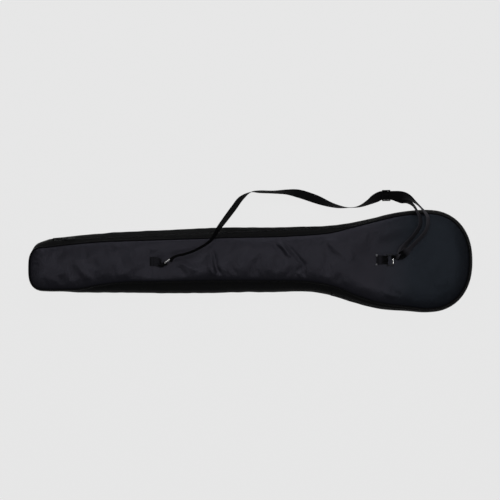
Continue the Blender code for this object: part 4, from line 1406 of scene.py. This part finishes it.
LEFT_END_X = -0.150  # the strap's left end piece ends, and its main piece starts, at the first point past this
STRAP_SPLIT_X = 0.3240
RING_END_Y = 0.060  # the outer and return runs end, and the end piece round the right ring starts, below this


def main_and_outer():
    """Makes the strap up to the right ring's end piece, and returns the rows that are left for that."""
    rows = strap_frames(MAIN_ROUTE + OUTER_ROUTE)
    first = next(i for i, row in enumerate(rows) if row[0].x > LEFT_END_X)
    split = next(i for i, row in enumerate(rows) if row[0].x > STRAP_SPLIT_X)
    apex = max(range(len(rows)), key=lambda i: rows[i][0].x)
    near_ring = next(i for i in range(apex, len(rows)) if rows[i][0].y < RING_END_Y)

    gathered = loop_rows(LEFT, 0.0100, 0.0, 0.0215, 0.0200) + rows[: first + 1]
    piece = strap_piece("strap_left_end", gathered, "strap_left_loop")
    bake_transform(piece)
    piece = strap_piece("strap_main_webbing", rows[first : split + 1], "strap_main")
    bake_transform(piece)
    outer_run = rows[split : near_ring + 1]
    piece = strap_piece("strap_outer_webbing", outer_run, "strap_outer_run", "outer_webbing")
    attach(piece, "flap")
    return rows[near_ring:]


def return_run():
    """Makes the run from the buckle's middle bar, and returns the rows that are left at the right ring."""
    under_outer = route(
        (0.3860, 0.1745, 0.0002, 180, 0.0240),
        (0.3920, 0.1735, 0.0002, 180, 0.0240),
        (0.3980, 0.1715, 0.0003, 180),
    )
    rows = strap_frames(under_outer + INNER_ROUTE)
    near_ring = next(i for i, row in enumerate(rows) if row[0].y < RING_END_Y)
    piece = strap_piece("strap_return_webbing", rows[: near_ring + 1], "strap_return_run", "return_webbing")
    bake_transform(piece)
    return rows[near_ring:]


def strap_adjuster():
    half = 0.0112
    rail = 0.0122
    side = rail + 0.0028
    end = side - 0.0004
    boxes = [
        *both_sides((-half, rail, 0.0003), (half, side, 0.0062)),
        ((-half, -end, 0.0041), (-half + 0.0030, end, 0.0066)),
        ((half - 0.0030, -end, 0.0041), (half, end, 0.0066)),
        ((-0.0018, -end, 0.0003), (0.0018, end, 0.0017)),
        *both_sides((-half + 0.0006, rail + 0.0006, 0.0050), (half - 0.0006, side - 0.0006, 0.0070)),
    ]
    where = axes(Vector((0.3700, 0.1750, 0.0)), (1.0, 0.02, 0.0), (0, 0, 1))
    piece = moulded("tri_glide", boxes, where, 0.00035, "buckle")
    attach(piece, "strap_adjuster")
    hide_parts("strap_adjuster")


def shoulder_strap():
    from_adjuster = main_and_outer()
    back_to_adjuster = return_run()
    round_bar = loop_rows(RIGHT, 0.0130, 0.0080, 0.0090, 0.0180)[::-1]
    gathered = from_adjuster + round_bar + back_to_adjuster[::-1]
    piece = strap_piece("strap_ring_end", gathered, "strap_right_loop", "end_webbing")
    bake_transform(piece)
    strap_adjuster()


# ---------------------------------------------------------------- floor, light and camera
FLOOR_HALF = 6.0
FLOOR_Z = -0.0006
FLOOR_GLOW = 0.786
VIEW_WIDTH = 1.35  # of what the camera sees, at the front panel


def floor():
    corners = [(x * FLOOR_HALF, y * FLOOR_HALF, 0) for x, y in ((-1, -1), (1, -1), (1, 1), (-1, 1))]
    mesh = bpy.data.meshes.new("floor")
    mesh.from_pydata(corners, [], [(0, 1, 2, 3)])
    obj = placed("floor", mesh)
    obj.location.z = FLOOR_Z
    n = Nodes("pale_floor")
    n.set(Base_Color=(0.03, 0.03, 0.03, 1), Roughness=1.0, Specular_IOR_Level=0.0)
    n.set(Emission_Color=(1, 1, 1, 1), Emission_Strength=FLOOR_GLOW)
    mesh.materials.append(n.material)


def area_light(name, at, size, power, colour=(1, 1, 1)):
    data = bpy.data.lights.new(name, "AREA")
    data.shape = "RECTANGLE"
    data.size, data.size_y = size
    data.energy = power
    data.color = colour
    obj = placed(name, data)
    obj.location = at
    obj.rotation_euler = (-Vector(at)).to_track_quat("-Z", "Y").to_euler()


def studio():
    floor()
    area_light("key", (0.2, 2.4, 2.0), (3.0, 1.0), 20, (0.97, 0.98, 1.0))
    area_light("overhead", (0.0, 0.06, 3.2), (2.6, 0.7), 9)
    area_light("flash", (0.05, 0.25, 3.4), (0.22, 0.22), 7)
    scene = bpy.context.scene
    scene.world = bpy.data.worlds.new("studio")
    scene.world.use_nodes = True
    sky = scene.world.node_tree.nodes["Background"].inputs
    sky["Color"].default_value = (0.9, 0.93, 1.0, 1)
    sky["Strength"].default_value = 0.10
    lens = bpy.data.cameras.new("camera")
    lens.lens = 135
    lens.sensor_width = 36
    lens.clip_end = 50
    camera = placed("camera", lens)
    camera.location = (0.0, 0.027, 0.035 + VIEW_WIDTH * lens.lens / lens.sensor_width)
    scene.camera = camera
    scene.view_settings.view_transform = "Standard"


panels()
side_walls()
seams()
zipper()
slider_and_pull()
zip_stops()
tabs_and_rings()
glint_knots()
shoulder_strap()
studio()
